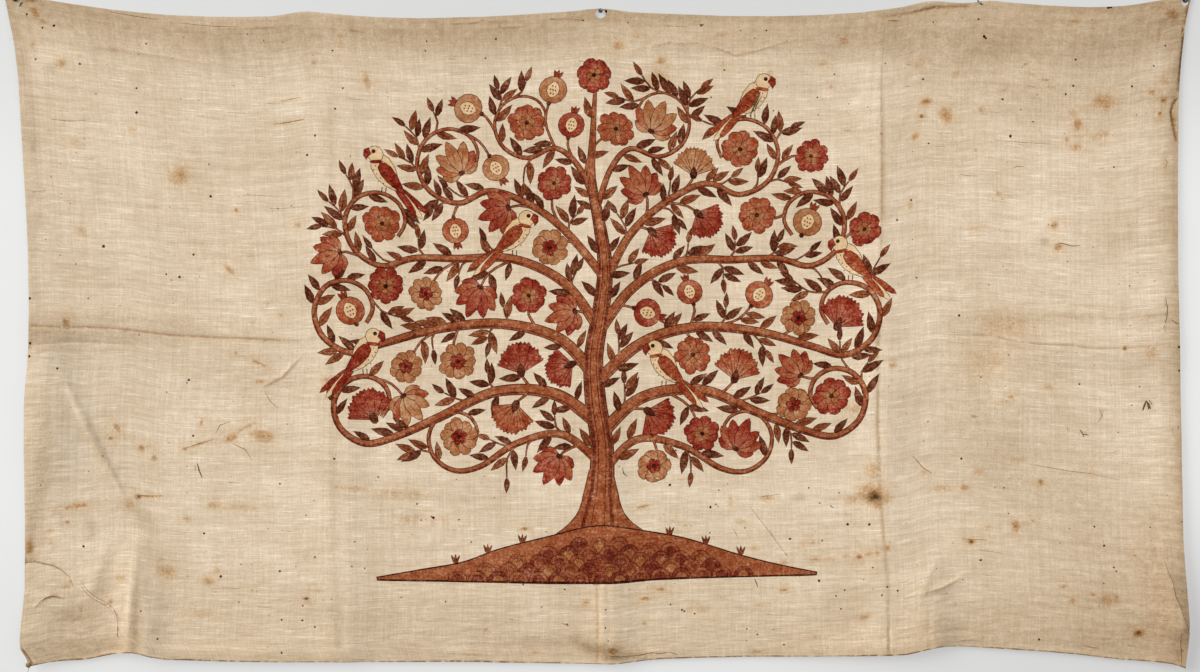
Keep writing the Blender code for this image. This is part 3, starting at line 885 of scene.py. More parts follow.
def possible_shoots(lines, reaches, splays, margin):
    """Root, side and end of every shoot of these reaches and splays that ends in the canopy."""
    found = []
    for line, _ in lines:
        headings = heading(np.gradient(line))
        for k, way, reach, splay in itertools.product(range(3, len(line) - 4), (1, -1), reaches, splays):
            end = line[k] + towards(headings[k] + way * splay, reach)
            if line[k].imag > LOWEST_SHOOT and in_canopy(end, margin):
                found.append((line[k], way, end))
    return found


def grow_shoots(found, widths, own_room, flower_room, wood_room, bird_gap):
    """The roomiest shoot of those found, then the roomiest that is left, until no end has room."""
    ends = np.array([end for _, _, end in found])
    room = np.minimum(gap(ends, flower_middles) / flower_room, gap(ends, bird_room) / bird_gap)
    room = np.minimum(room, gap(ends, wood, wood_half) / wood_room)
    shoots = []
    while room.max() >= 1:
        root, way, end = found[room.argmax()]
        knee = root + (end - root) * 0.5 * towards(-KNEE_TURN * way)
        shoot = smooth_line([root, knee, end], 12)
        shoots.append((shoot, widths))
        room = np.minimum(room, np.abs(ends - end) / own_room)
        room = np.minimum(room, gap(ends, shoot[1:-1], widths[0] / 2) / wood_room)
    return shoots


def wood_with(shoots):
    """All places on the wood and half its width there, with the new shoots."""
    halves = [np.full(len(shoot) - 2, widths[0] / 2) for shoot, widths in shoots]
    return np.concatenate([wood] + [shoot[1:-1] for shoot, _ in shoots]), np.concatenate([wood_half] + halves)


wood = np.concatenate([line[2:] for line, _ in wood_lines])
wood_half = np.concatenate([half_widths(line, widths)[2:] for line, widths in wood_lines])
bird_room = np.array([
    complex(x + ahead * way, up + above) for x, up, way, _ in PERCHES for ahead, above in BIRD_HEAD_BODY_TAIL
])
flower_middles = np.array([middle for middle, _, _ in flower_places])
stems = grow_shoots(
    possible_shoots(wood_lines, reaches=(46, 60, 78, 96), splays=(35, 58, 80), margin=28),
    widths=(5.4, 4.4, 3.6), own_room=64, flower_room=64, wood_room=26, bird_gap=50,
)
wood, wood_half = wood_with(stems)
flower_places += [(stem[-1], heading(stem[-1] - stem[-3]), 0) for stem, _ in stems]
flower_middles = np.array([middle for middle, _, _ in flower_places])
sprays = grow_shoots(
    possible_shoots(wood_lines + stems, reaches=(34, 46, 60), splays=(30, 50, 70), margin=8),
    widths=(4.2, 3.4, 2.6), own_room=42, flower_room=46, wood_room=17, bird_gap=38,
)
wood, wood_half = wood_with(sprays)
print(len(flower_places), "flowers and", len(sprays), "leafy sprays")

# %% [markdown]
# Wood is painted twice, first every line in ink and then every line a little narrower in bark dye, so that
# forks run into each other with no ink across them. Leaves go wherever one still fits beside the wood, and
# the flowers cover the ends of their stems.

# %% The wood, the leaves and the flowers
LEAF_LENGTHS, LAST_LEAF, STEM_FLOWER_SIZES = (31, 40), 27, (56, 64)
OFF_FLOWERS, OFF_WOOD, OFF_BIRDS, OFF_LEAVES = 33, 6.5, 24, 9.5
PAST_CANOPY = 10
SHADED_FROM = 7.5
BARK_INSET, BARK_INSET_SHARE = 1.0, 0.045


def band(line, widths, less=0.0):
    """The outline of a band along the line, as wide as the widths say from its start to its end."""
    along = np.gradient(line)
    aside = 1j * (half_widths(line, widths) - less) * along / abs(along)
    return np.concatenate([line - aside, (line + aside)[::-1]])


roots = [(smooth_line(places_in(places), 12), widths) for places, widths in ROOTS]
all_wood = roots + wood_lines + stems + sprays
for line, widths in all_wood:
    paint(band(line, widths), "ink")
for line, widths in all_wood:
    paint(band(line, widths, BARK_INSET + BARK_INSET_SHARE * half_widths(line, widths)), "bark")
for line, widths in wood_lines:
    along = np.gradient(line)
    along /= abs(along)
    half = half_widths(line, widths)
    below = -1j * along * np.where(along.real > 0, 1, -1) * half
    is_trunk = widths is TRUNK_WIDTHS
    thick = half > SHADED_FROM
    for way in (1, -1) if is_trunk else ():
        edge = (line + 0.68j * way * along * half)[thick]
        pen(edge, 6.5, "bark shade", (0.9, 0.4))
        pen(edge - 0.62j * way * along[thick] * half[thick] * 0.6, 1.3, "ink", (0.6, 0.3))
    if not is_trunk:
        pen(line[1:] + 0.55 * below[1:], 0.2 * widths[0], "bark shade")
    for k in range(2, len(line) - 2, 1 if is_trunk else 2):
        for depth in ((-0.6, -0.15, 0.35) if is_trunk else (0.3,)):
            spot = line[k] + below[k] * (depth + hand.uniform(-0.2, 0.2))
            pen(spot + along[k] * hand.uniform(2, 4.5) * np.array([-1, 1]), FINE_LINE, "ink", (0.5, 0.5))

leaf_places = np.array([complex(math.inf, 0)])
leaf_count = 0
for line, widths in sprays + stems + wood_lines:
    headings, half = heading(np.gradient(line)), half_widths(line, widths)
    spots = [(k, way) for k in range(1, len(line) - 1) for way in ((1, -1) if k % 2 else (-1, 1))]
    for k, way in spots:
        root = line[k] + towards(headings[k] + 90 * way, 0.8 * half[k])
        for splay in (42, 60, 28) if root.imag > LOWEST_SHOOT else ():
            length, turn = hand.uniform(*LEAF_LENGTHS), headings[k] + way * splay + hand.uniform(-6, 6)
            reached = root + towards(turn, length) * np.array([0.2, 0.45, 0.75, 1.0])
            clear = gap(reached[1:], flower_middles).min() > OFF_FLOWERS
            clear = clear and gap(reached[1:], wood, wood_half).min() > OFF_WOOD
            clear = clear and gap(reached[1:], bird_room).min() > OFF_BIRDS
            clear = clear and gap(reached[1:], leaf_places).min() > OFF_LEAVES
            if clear and all(in_canopy(place, -PAST_CANOPY) for place in reached):
                leaf(root, turn, length, hand.choice(("dark brown", "dark brown", "leaf rust")))
                leaf_places = np.concatenate([leaf_places, reached])
                leaf_count += 1
                break
for line, _ in sprays:
    leaf(line[-1], heading(line[-1] - line[-2]), LAST_LEAF, hand.choice(("dark brown", "leaf rust")))
for k, (middle, degrees, size) in enumerate(flower_places):
    size = size or hand.uniform(*STEM_FLOWER_SIZES)
    FLOWERS[k % len(FLOWERS)](middle, degrees, size, hand.choice(("madder", "rust", "madder", "rust", "tan")))
print(leaf_count + len(sprays), "leaves")

# %% [markdown]
# Six small parrots perch on the boughs. Each is drawn once, facing right and one unit long, and is then
# scaled, leant and set down on the nearest wood, or turned over so that it faces left.

# %% The parrots
PARROT_LENGTH = 122
TAIL = [
    # end, as across and up in parrot lengths, dye
    (-0.53 - 0.36j, None), (-0.45 - 0.44j, "pale"), (-0.36 - 0.4j, None),
]
BEAK = (0.245 + 0.55j, 0.2 + 0.46j, 0.245 + 0.42j, 0.265 + 0.365j, 0.315 + 0.43j, 0.31 + 0.51j)
BREAST_DOTS = (0.09 + 0.26j, 0.14 + 0.31j, 0.12 + 0.2j, 0.06 + 0.15j, 0.16 + 0.25j, 0.02 + 0.08j, 0.09 + 0.1j)


def parrot(foot, way, lean, wing_dye):
    """A small parrot with a long tail, a collar and a dotted breast."""
    def put(shape):
        """The shape, given in parrot lengths from its foot, where it belongs on the cloth."""
        shape = np.asarray(shape, complex)
        return foot + PARROT_LENGTH * (shape if way > 0 else -shape.conjugate()) * towards(lean * way)

    for end, dye in TAIL:
        inked(put(blade(-0.1 + 0.1j, end, 0.1, 0.5, 0.45, 0.03)), dye or wing_dye, 0.9)
    inked(put(blade(-0.17, 0.33 + 0.47j, 0.31, 0.75, 0.5, 0, 6)), "pale")
    inked(put(disc(0.15 + 0.47j, 0.115)), "pale")
    paint(put(blade(0.03 + 0.385j, 0.2 - 0.035j, 0.05, 0.3, 0.3, 0, 3)), wing_dye)
    inked(put(BEAK), "madder", 0.8)
    paint(put(disc(0.175 + 0.505j, 0.03, 7)), "ink")
    for dot in BREAST_DOTS:
        paint(put(disc(dot, 0.011, 4)), "ink")
    inked(put(blade(0.08 + 0.36j, -0.34 - 0.42j, 0.19, 0.42, 0.9, -0.06, 6)), wing_dye)
    for k in range(4):
        quill = 0.035 + 0.3j - (0.05 + 0.075j) * k
        pen(put([quill + 0.055 - 0.045j, quill - 0.03j, quill - 0.05 + 0.02j]), FINE_LINE, "ink", (0.5, 0.5))
    for toe in (-0.02, 0.035):
        pen(put([toe + 0.03j, toe + 0.005 - 0.045j]), 1.8, "ink", (1, 0.7))


for k, (x, up, way, lean) in enumerate(PERCHES):
    nearest = np.abs(wood - complex(x, up)).argmin()
    parrot(wood[nearest] + 1j * (wood_half[nearest] + 4), way, lean, ("rust", "madder", "rust")[k % 3])
print(len(PERCHES), "parrots")

# %% [markdown]
# The hill under the tree is a low outline filled with rows of overlapping scales, the old painters' sign for
# stony ground. The rows are painted from the top down, so that each one covers the foot of the row above.

# %% The hill
HILL_TOP = [
    # across, up
    (-372, 2), (-300, 15), (-228, 28), (-170, 49), (-96, 68), (0, 88), (86, 74), (150, 60),
    (226, 35), (292, 17), (362, 2),
]
HILL_FOOT = [(-371, -4), (-290, -5), (-130, -7), (0, -8), (120, -7), (300, -5), (361, -4)]
SCALE_WIDTH, SCALE_RISE, SCALE_ROWS, MOST_ASIDE = 34.0, 14.0, 7, 11
LOWEST_ROW, BELOW_HILL = -4, 6
HILL_RIM, HILL_LINE = 8.0, 2.2
TUFTS = (-240, -186, -128, 118, 178, 236)
hill_across, hill_up = np.array(HILL_TOP, float).T
hill_line, hill_foot = smooth_line(places_in(HILL_TOP), 12), places_in(HILL_FOOT)
inked(np.concatenate([hill_line, hill_foot[::-1]])[::-1], "bark", HILL_LINE)
half_turn = np.linspace(0, math.pi, 8)
for row in reversed(range(SCALE_ROWS)):
    up = LOWEST_ROW + row * SCALE_RISE
    drop = min(SCALE_RISE, up + BELOW_HILL)
    for k in range(-MOST_ASIDE, MOST_ASIDE + 1):
        across = (k + 0.5 * (row % 2)) * SCALE_WIDTH + hand.uniform(-1.5, 1.5)
        reach = np.interp([across - 9, across, across + 9], hill_across, hill_up).min() - HILL_RIM
        if up + 0.5 * SCALE_WIDTH > reach:
            continue
        arch = 0.49 * SCALE_WIDTH * (np.cos(half_turn) + 1j * np.sin(half_turn))
        arch = np.concatenate([arch, [arch[-1] - 1j * drop, arch[0] - 1j * drop]])
        base = complex(across, up)
        inked(base + arch, ("hill", "hill red", "hill")[(k + 2 * row) % 3])
        inked(base + 0.6 * arch, ("hill red", "tan", "hill")[(k + row) % 3], 0.9)
        for degrees in (60, 90, 120):
            pen([base + towards(degrees, 3), base + towards(degrees, 9)], 1.3, "ink", (0.5, 0.5))
pen(smooth_line(np.concatenate([hill_line[:1], hill_foot, hill_line[-1:]]), 30), 3.2, "ink", (0.3, 0.3))
for x in TUFTS:
    for degrees in (62, 88, 114):
        tuft = complex(x, np.interp(x, hill_across, hill_up) - 2)
        inked(blade(tuft, towards(degrees, 17), 5.5, 0.7, 1.2, 0, 3), "leaf rust", 0.7)
print(len(painted), "painted shapes,", sum(len(outline) for outline, _, _ in painted), "points")

# %% [markdown]
# A cloth of this age carries marks: tan stains with soft edges, grey dirt and painted shade along its folds
# and borders, small dark specks and a few scribbles. One grey stain is painted shade as well: a painted
# shadow under the turned hem at the lower left. A stain is a soft ellipse, given by its place, its two half
# sizes, its lean and its strength, and it gets a ring or two of points of its own in the sheet. Each point of
# the sheet later keeps how brown and how grey it is. Noise in the finish breaks the edges up, so the tables
# stay short.

# %% The stains, and a painted shadow under the hem
BROWN_STAINS = [
    # x, z, half length, half height, in millimetres, lean in degrees, strength
    (-933, -3, 10, 6, -50, 0.8), (-919, -17, 6, 3, -40, 0.6), (-937, 17, 12, 3, 0, 1.0),
    (-937, -57, 6, 6, 0, 0.4), (-888, -87, 9, 8, 0, 0.55), (-693, -271, 18, 16, 0, 0.6),
    (-854, -362, 6, 6, 0, 0.5), (-600, -329, 5, 2.5, -70, 1.1), (-498, -354, 5, 6, 0, 0.6),
    (-611, -427, 10, 4, -45, 0.7), (-878, -513, 6, 12, 0, 0.8), (-772, -195, 9, 4, -10, 0.45),
    (-861, -220, 15, 8, 0, 0.25), (-573, -514, 5, 4, 0, 0.4), (-525, -502, 5, 3, 0, 0.6),
    (-548, -483, 3, 5, 0, 0.35), (-513, -147, 14, 3, 8, 0.3), (-516, -184, 20, 3, 8, 0.35),
    (-385, -115, 18, 5, -75, 0.6), (-427, -50, 3, 32, 0, 0.4), (-796, -686, 9, 4, -55, 0.85),
    (-806, -705, 4, 3.5, 0, 0.9), (-756, -720, 5, 5, 0, 0.9), (-735, -737, 6, 5, 0, 0.7),
    (-746, -717, 9, 6, 0, 0.35), (-657, -677, 8, 3, 80, 0.7), (-684, -722, 6, 3, 10, 0.9),
    (-660, -714, 22, 2.5, 20, 0.6), (-609, -703, 11, 6, 25, 0.95), (-577, -682, 10, 4, 25, 0.7),
    (-622, -690, 14, 5, 60, 0.2), (-558, -700, 19, 9, -12, 0.65), (-562, -581, 16, 2.5, -25, 0.85),
    (-600, -564, 6, 3, -50, 0.6), (-562, -611, 7, 2.5, 5, 0.7), (-451, -609, 9, 7, 20, 0.5),
    (-863, -816, 26, 4, 9, 0.95), (-877, -842, 5, 3, 0, 0.7), (92, -57, 5, 4, 0, 0.3),
    (-127, -854, 8, 3, 8, 0.9), (880, -897, 3, 2, 0, 0.8), (-904, -855, 6, 5, 0, 0.4),
    (-904, -877, 4, 3, 0, 0.5), (-738, -800, 20, 2.5, 0, 0.65), (-762, -800, 7, 5, 0, 0.7),
    (-773, -814, 9, 5, 0, 0.7), (-636, -814, 11, 5, 0, 0.6), (-594, -819, 45, 4, -1, 0.3),
    (-680, -837, 6, 4, 0, 0.5), (-713, -924, 17, 11, -30, 0.55), (-722, -905, 6, 5, 0, 0.5),
    (-789, -934, 8, 6, 0, 0.5), (-645, -940, 9, 7, 0, 0.65), (-630, -922, 7, 7, 0, 0.4),
    (-485, -968, 6, 2, 5, 1.1), (-855, -985, 5, 5, 0, 0.6), (-806, -974, 4, 5, 0, 0.6),
    (-940, -886, 7, 12, 0, 0.8), (-880, -949, 9, 4, 0, 0.45), (-467, -956, 14, 3, 0, 0.35),
    (-666, -994, 40, 5, 0, 0.25), (30, -58, 8, 7, 0, 0.75), (100, -84, 7, 6, 0, 0.9),
    (93, -114, 20, 16, 0, 0.55), (280, -103, 5, 5, 0, 0.75), (301, -909, 7, 4, 0, 0.75),
    (252, -886, 9, 5, 0, 0.4), (100, -953, 11, 2.6, 3, 0.95), (402, -47, 7, 8, 0, 0.75),
    (482, -17, 11, 2.5, 3, 0.4), (537, -149, 9, 5, 15, 0.9), (569, -172, 10, 12, 0, 0.85),
    (529, -174, 3.5, 3.5, 0, 1.3), (518, -207, 8, 5, 50, 0.7), (627, -163, 6, 7, 0, 0.4),
    (698, -89, 6, 3, -10, 0.5), (743, -126, 8, 5, 0, 0.4), (828, -150, 19, 14, 0, 0.65),
    (785, -189, 8, 9, 0, 0.85), (779, -167, 9, 8, 0, 0.4), (823, -205, 18, 6, 15, 0.5),
    (783, -226, 10, 6, 15, 0.55), (768, -212, 4, 4, 0, 0.7), (908, -135, 6, 4, 0, 0.9),
    (927, -147, 5, 6, 0, 1.1), (921, -170, 3.5, 3.5, 0, 1.4), (929, -116, 7, 8, 0, 0.45),
    (942, -6, 11, 8, 0, 0.8), (919, -39, 6, 9, 0, 0.5), (929, 7, 18, 9, 0, 0.4),
    (747, -355, 8, 6, 60, 0.75), (754, -390, 7, 5, 20, 1.0), (511, -321, 5, 7, 0, 0.4),
    (618, -357, 14, 8, 0, 0.25), (665, -520, 45, 28, 0, 0.3), (641, -578, 45, 38, 0, 0.22),
    (906, -564, 9, 10, 0, 0.4), (862, -556, 4, 3.5, 0, 1.1), (480, -585, 7, 4, 0, 0.7),
    (416, -655, 15, 10, 20, 0.5), (456, -519, 5, 4, 0, 0.6), (737, -619, 8, 5, 0, 0.5),
    (677, -636, 6, 4, 0, 0.6), (668, -643, 5, 2, 0, 1.0), (614, -668, 6, 3, 0, 0.5),
    (622, -759, 9, 5, 0, 0.45), (686, -742, 10, 6, 0, 0.3), (725, -776, 5, 5, 0, 0.8),
    (565, -787, 24, 6, 3, 0.4), (599, -786, 8, 5, 0, 0.55), (684, -849, 7, 9, 0, 0.9),
    (639, -851, 10, 5, 0, 0.35), (611, -874, 6, 5, 0, 1.2), (614, -871, 24, 2.5, -3, 0.3),
    (427, -899, 6, 4, 15, 1.0), (455, -893, 4, 3, 0, 1.1), (472, -885, 4, 4, 0, 0.9),
    (442, -895, 12, 3, 10, 0.5), (406, -899, 7, 4, 0, 0.4), (435, -999, 8, 4, 10, 0.6),
    (535, -761, 9, 4, -20, 0.45), (811, -763, 3, 4, 0, 0.9), (711, -840, 4, 3, 0, 0.8),
    (762, -948, 8, 4, 0, 0.6), (838, -971, 15, 11, 0, 0.55), (811, -961, 5, 3, 0, 0.7),
    (778, -972, 5, 5, 0, 0.8), (849, -966, 5, 3, 0, 0.9), (-472, -86, 8, 5, 0, 0.35),
    (63, -41, 9, 5, 0, 0.4), (199, -40, 10, 4, 0, 0.4), (200, -88, 7, 5, 0, 0.4), (509, -89, 4, 2, 0, 0.5),
    (379, -126, 4, 3, 0, 0.5), (329, -60, 4, 2, 30, 0.5), (275, -802, 13, 4, 3, 0.6),
    (349, -877, 5, 2.5, 15, 0.8), (327, -886, 5, 2.2, 0, 0.6), (355, -904, 9, 2.5, 0, 0.9),
    (380, -903, 12, 4, 0, 0.35), (302, -954, 8, 1.8, 0, 1.0), (260, -979, 8, 2, 0, 0.4),
    (200, -966, 8, 1.8, 0, 0.4), (354, -1031, 8, 3, 0, 0.35), (258, -1055, 9, 3, 0, 0.5),
    (232, -841, 10, 5, 0, 0.35), (409, -830, 12, 3, 0, 0.35), (-574, -955, 6, 3, 0, 0.6),
    (-189, -1019, 4, 3, 0, 0.5), (-412, -786, 42, 1.6, -4, 0.4), (-328, -794, 46, 1.6, -6, 0.4),
    (-287, -837, 58, 1.6, -2, 0.35), (72, -968, 9, 3, 2, 0.95), (-25, -974, 7, 6, 0, 0.5),
    (72, -1010, 6, 3, 20, 0.5), (164, -984, 14, 7, 0, 0.3), (-88, -938, 7, 6, 0, 0.45),
    (-108, -1056, 14, 4, 0, 0.4), (20, -1054, 8, 5, 0, 0.95), (215, -808, 4, 14, 5, 0.4),
    (69, -817, 14, 3, 12, 0.6), (135, -772, 14, 1.8, 0, 0.5), (119, -841, 4, 2.5, 0, 0.7),
    (140, -848, 6, 2, 20, 0.6), (706, -104, 14, 3, -10, 0.45), (733, -114, 10, 2.5, 0, 0.5),
    (665, -132, 7, 3, 0, 0.4), (656, -302, 6, 4, -30, 0.5), (618, -230, 6, 3, -45, 0.45),
    (929, -254, 7, 9, 0, 0.35), (782, -18, 11, 3, 0, 0.5), (530, -86, 18, 7, 20, 0.3),
    (586, -102, 12, 6, 60, 0.3), (370, -88, 12, 4, 0, 0.45), (406, -198, 8, 2, 8, 0.5),
    (-594, -692, 16, 2, 32, 0.6), (886, -1025, 9, 7, 20, 1.2), (618, -916, 6, 3, 10, 0.4),
    (449, -797, 23, 17, 0, 0.8), (448, -757, 12, 12, 0, 0.55), (471, -804, 10, 9, 0, 0.5),
    (418, -804, 16, 8, 0, 0.4), (455, -815, 7, 8, 0, 0.7),
]
GREY_STAINS_AND_HEM_SHADOW = [
    # x, z, half length, half height, lean, strength
    (731, -380, 8, 7, 0, 0.8), (452, -802, 12, 8, -15, 2.6), (455, -801, 5, 4, 0, 3.2),
    (584, -976, 4, 4, 0, 0.7), (823, -668, 15, 4, 75, 0.5), (-871, -1000, 40, 24, 0, 0.6),
    (-906, -100, 14, 11, 0, 0.4), (-945, -28, 16, 15, 0, 0.5), (-935, -225, 8, 22, 0, 0.6),
    # the grey stain at -929, -1077 stands for the shadow under the turned hem: it is a painted shadow
    (-938, -1076, 4, 4, 0, 3.0), (-929, -1077, 7, 3, 12, 2.0), (-760, -800, 4, 3, 0, 2.2),
    (886, -1024, 5, 3, 20, 2.0), (611, -874, 3, 3, 0, 2.0), (-484, -968, 4, 2, 0, 2.0),
    (862, -556, 2.5, 2.5, 0, 2.4), (-798, -686, 5, 2, -55, 1.0), (-736, -735, 3, 3, 0, 0.8),
    (528, -174, 2.5, 2.5, 0, 2.0), (901, -650, 9, 7, 0, 0.7), (794, -697, 7, 5, 0, 0.6),
    (328, -800, 12, 7, 20, 0.45), (-347, -67, 11, 4, 0, 0.4), (864, -931, 9, 5, 10, 0.5),
    (-790, -753, 16, 4, -8, 0.35), (-125, -853, 3, 2, 0, 1.2),
]
FAINTER, SOFTNESS = 1.2, 1.3
# where a stain's rings of points are, as shares of its half sizes; a small stain goes without the inner ring
RINGS_IN_A_STAIN, INNER_RING = (0.0, 0.6, 1.3), 0.6
SMALL_STAIN, MOST_IN_A_RING = 6, 20


def stain_rings():
    """Places for a few points in and round every stain, in the flat plane."""
    found = []
    for x, z, half_length, half_height, lean, _ in BROWN_STAINS + GREY_STAINS_AND_HEM_SHADOW:
        for share in RINGS_IN_A_STAIN:
            count = min(round(share * half_length + 3), MOST_IN_A_RING) if share else 1
            if share != INNER_RING or half_length > SMALL_STAIN:
                ring = disc(0, half_length * share, count, half_height / half_length, lean)
                found.append(complex(x, z) + ring)
    return flat_place(np.concatenate(found))


def stain_strength(stains, hung):
    """How strong the strongest of the stains is at each x + 1j z."""
    strength = np.zeros(len(hung))
    for x, z, half_length, half_height, lean, most in stains:
        away = (hung - complex(x, z)) * towards(-lean)
        share = (away.real / half_length) ** 2 + (away.imag / half_height) ** 2
        strength = np.maximum(strength, most ** FAINTER * np.exp(-SOFTNESS * share))
    return strength


print(len(BROWN_STAINS), "brown stains and", len(GREY_STAINS_AND_HEM_SHADOW), "grey ones")

# %% [markdown]
# Dust settles where a fold or a border catches it. Some creases carry a thin dark line, partly dirt and
# partly painted shade, and broad bands of dirt lie along the top, the sides, the foot and the old folds.
# Other lines and
# bands are painted shade: the shadow under the turned edge at the top right, the shaded sides of the folds at
# the lower left, the deep fold and the rumples at the foot, and a broad darkening towards the lower right.
# All follow lines that are already there or are given like them, so that one search for the nearest stretch
# of a line serves folds, dirt and shade alike.

# %% The dirt and painted shade along folds and borders
CREASE_DIRT_AND_SHADE = {
    # crease: half width, brown, grey
    "half height, left": (2.2, 0.25, 0.7), "half height, left, lower": (2.0, 0.12, 0.4),
    "half height, right": (1.3, 0.15, 0.55), "upright, right": (2.5, 0.1, 0.7),
    # the turned edge's dark line is a painted shadow of its fold
    "turned edge, top right": (1.8, 0.7, 2.2), "turned corner": (1.4, 0.3, 1.2),
    # the grey lines of the deep fold and of its foot, here and on the next line, are painted shade along the
    # fold
    "under the pin": (3.0, 0.4, 1.0), "lower left, cracks": (1.2, 0.1, 0.5), "deep fold": (4.5, 0.0, 0.5),
    "deep fold, foot": (3.5, 0.08, 0.7), "right, hair line": (1.6, 0.2, 1.0),
    "left of the tree": (1.6, 0.2, 0.7), "top left, long": (1.8, 0.1, 0.45),
    "foot, dark line": (2.5, 0.38, 0.25), "foot, second dark line": (2.0, 0.12, 0.15),
    "lower right, upright": (2.0, 0.25, 0.35), "top right, wavy": (1.5, 0.15, 0.7),
    "under the top edge, 1": (1.5, 0.25, 0.8), "under the top edge, 2": (1.5, 0.25, 1.0),
    "under the top edge, 3": (1.5, 0.3, 0.9), "under the top edge, 4": (1.5, 0.3, 0.7),
    "under the top edge, 5": (1.5, 0.4, 0.9), "under the top edge, 6": (1.5, 0.3, 0.7),
    "foot, left of the middle 1": (1.5, 0.2, 0.6), "lower left, short": (1.5, 0.1, 0.5),
    "lower left, pucker 1": (1.8, 0.1, 0.5), "lower left, pucker 2": (1.8, 0.1, 0.45),
    "lower left, pucker 3": (1.8, 0.1, 0.45), "lower left, pucker 4": (1.8, 0.1, 0.35),
}
DIRT_AND_SHADE_BANDS = [
    # rows of x, z, half width, strength
    [
        (-930, 0, 40, 0.5), (-800, -26, 40, 0.55), (-620, -46, 38, 0.5), (-430, -40, 34, 0.5),
        (-300, -44, 32, 0.6), (-100, -40, 32, 0.5), (60, -46, 30, 0.3), (300, -46, 32, 0.4),
        (460, -40, 44, 0.6), (600, -46, 54, 0.65), (800, -50, 64, 0.65), (940, -20, 50, 0.65),
    ],
    [(520, -110, 50, 0.2), (700, -120, 60, 0.3), (900, -130, 60, 0.3)],
    [
        (-420, -8, 20, 0.15), (-300, -16, 22, 0.4), (-100, -8, 22, 0.3), (0, -4, 20, 0.6),
        (200, -10, 22, 0.55), (400, -10, 22, 0.55), (520, 2, 20, 0.5), (640, 10, 20, 0.3),
        (760, 2, 20, 0.55), (860, 6, 22, 0.8), (960, 12, 24, 0.4),
    ],
    [
        (-975, 5, 16, 0.5), (-944, -150, 14, 0.3), (-930, -280, 12, 0.15), (-930, -420, 10, 0.1),
        (-930, -520, 12, 0.4),
    ],
    # painted shade on the shaded side of the slanting ridge
    [(-856, -672, 6, 0.1), (-836, -706, 7, 0.4), (-816, -742, 7, 0.4), (-800, -775, 5, 0.1)],
    [(-938, -534, 20, 0.6), (-870, -534, 18, 0.45), (-760, -533, 14, 0.3), (-640, -538, 10, 0.15)],
    [
        (560, -512, 10, 0.15), (640, -510, 11, 0.3), (712, -505, 11, 0.3), (820, -500, 9, 0.3),
        (955, -508, 8, 0.3),
    ],
    [(-938, -505, 14, 0.3), (-820, -505, 14, 0.3), (-700, -515, 12, 0.25), (-560, -530, 9, 0.15)],
    [
        (-913, -640, 12, 0.2), (-913, -690, 13, 0.35), (-922, -790, 13, 0.5), (-936, -864, 11, 0.6),
        (-938, -900, 9, 0.4),
    ],
    [(-442, -60, 9, 0.12), (-442, -560, 9, 0.16), (-436, -1050, 10, 0.18)],
    # the next four rows are painted shade on the shaded sides of the folds of the lower left
    [(-765, -940, 8, 0.2), (-765, -1000, 8, 0.4), (-766, -1062, 8, 0.5)],
    [(-806, -880, 12, 0.15), (-816, -930, 13, 0.3), (-824, -965, 12, 0.15)],
    [(-783, -800, 12, 0.15), (-755, -830, 12, 0.4), (-735, -862, 10, 0.15)],
    [(-843, -832, 5, 0.1), (-839, -855, 5, 0.45), (-836, -880, 5, 0.1)],
    [
        (960, -40, 14, 0.6), (945, -150, 12, 0.4), (948, -400, 9, 0.4), (955, -600, 10, 0.5),
        (964, -900, 12, 0.6), (960, -1060, 14, 0.6),
    ],
    # the next two rows are painted shade along the deep fold at the right foot
    [
        (905, -830, 34, 0.4), (912, -905, 40, 0.6), (918, -950, 42, 0.7), (922, -1010, 44, 0.75),
        (915, -1050, 44, 0.65),
    ],
    [
        (926, -862, 12, 0.3), (938, -915, 12, 0.5), (953, -960, 12, 0.6), (964, -1010, 11, 0.6),
        (955, -1060, 11, 0.5),
    ],
    [(-940, -1060, 22, 0.4), (-860, -1050, 26, 0.45), (-780, -1045, 14, 0.3)],
    [
        (-700, -1066, 8, 0.3), (-300, -1068, 8, 0.2), (100, -1064, 8, 0.2), (480, -1056, 8, 0.4),
        (940, -1070, 8, 0.3),
    ],
    # painted shade: broadly darker towards the lower right
    [(560, -640, 60, 0.15), (760, -800, 90, 0.3), (820, -960, 90, 0.35)],
    [
        (-60, -1030, 10, 0.2), (-14, -1050, 12, 0.9), (18, -1058, 11, 1.3), (50, -1060, 8, 0.6),
        (90, -1064, 6, 0.2),
    ],
    # painted shade across the rumples left of the middle of the foot, and on the next row at the lower right
    # of the foot
    [(-200, -1045, 14, 0.1), (-120, -1040, 16, 0.3), (-40, -1036, 14, 0.3)],
    [(520, -1030, 50, 0.2), (700, -1020, 60, 0.3), (860, -1040, 70, 0.5), (960, -1040, 60, 0.6)],
]
BROWN_IN_A_BAND = 0.08


def brown_and_grey(hung):
    """How strong the brown stains, and the grey dirt and painted shade, are at each x + 1j z, 0 where the
    cloth is clean.
    """
    brown, grey = stain_strength(BROWN_STAINS, hung), stain_strength(GREY_STAINS_AND_HEM_SHADOW, hung)
    for name, (half_width, most_brown, most_grey) in CREASE_DIRT_AND_SHADE.items():
        away, beside = nearest_stretch(CREASES[name], hung)
        share = np.exp(-((away / half_width) ** 2)) * np.clip(abs(beside[:, 1]), 0, 1)
        brown, grey = np.maximum(brown, most_brown * share), np.maximum(grey, most_grey * share)
    for rows in DIRT_AND_SHADE_BANDS:
        away, beside = nearest_stretch(rows, hung)
        share = beside[:, 1] * np.exp(-((away / beside[:, 0]) ** 2))
        brown, grey = np.maximum(brown, BROWN_IN_A_BAND * share), np.maximum(grey, share)
    return brown, grey


print(len(CREASE_DIRT_AND_SHADE), "dirty creases and", len(DIRT_AND_SHADE_BANDS), "bands of dirt")
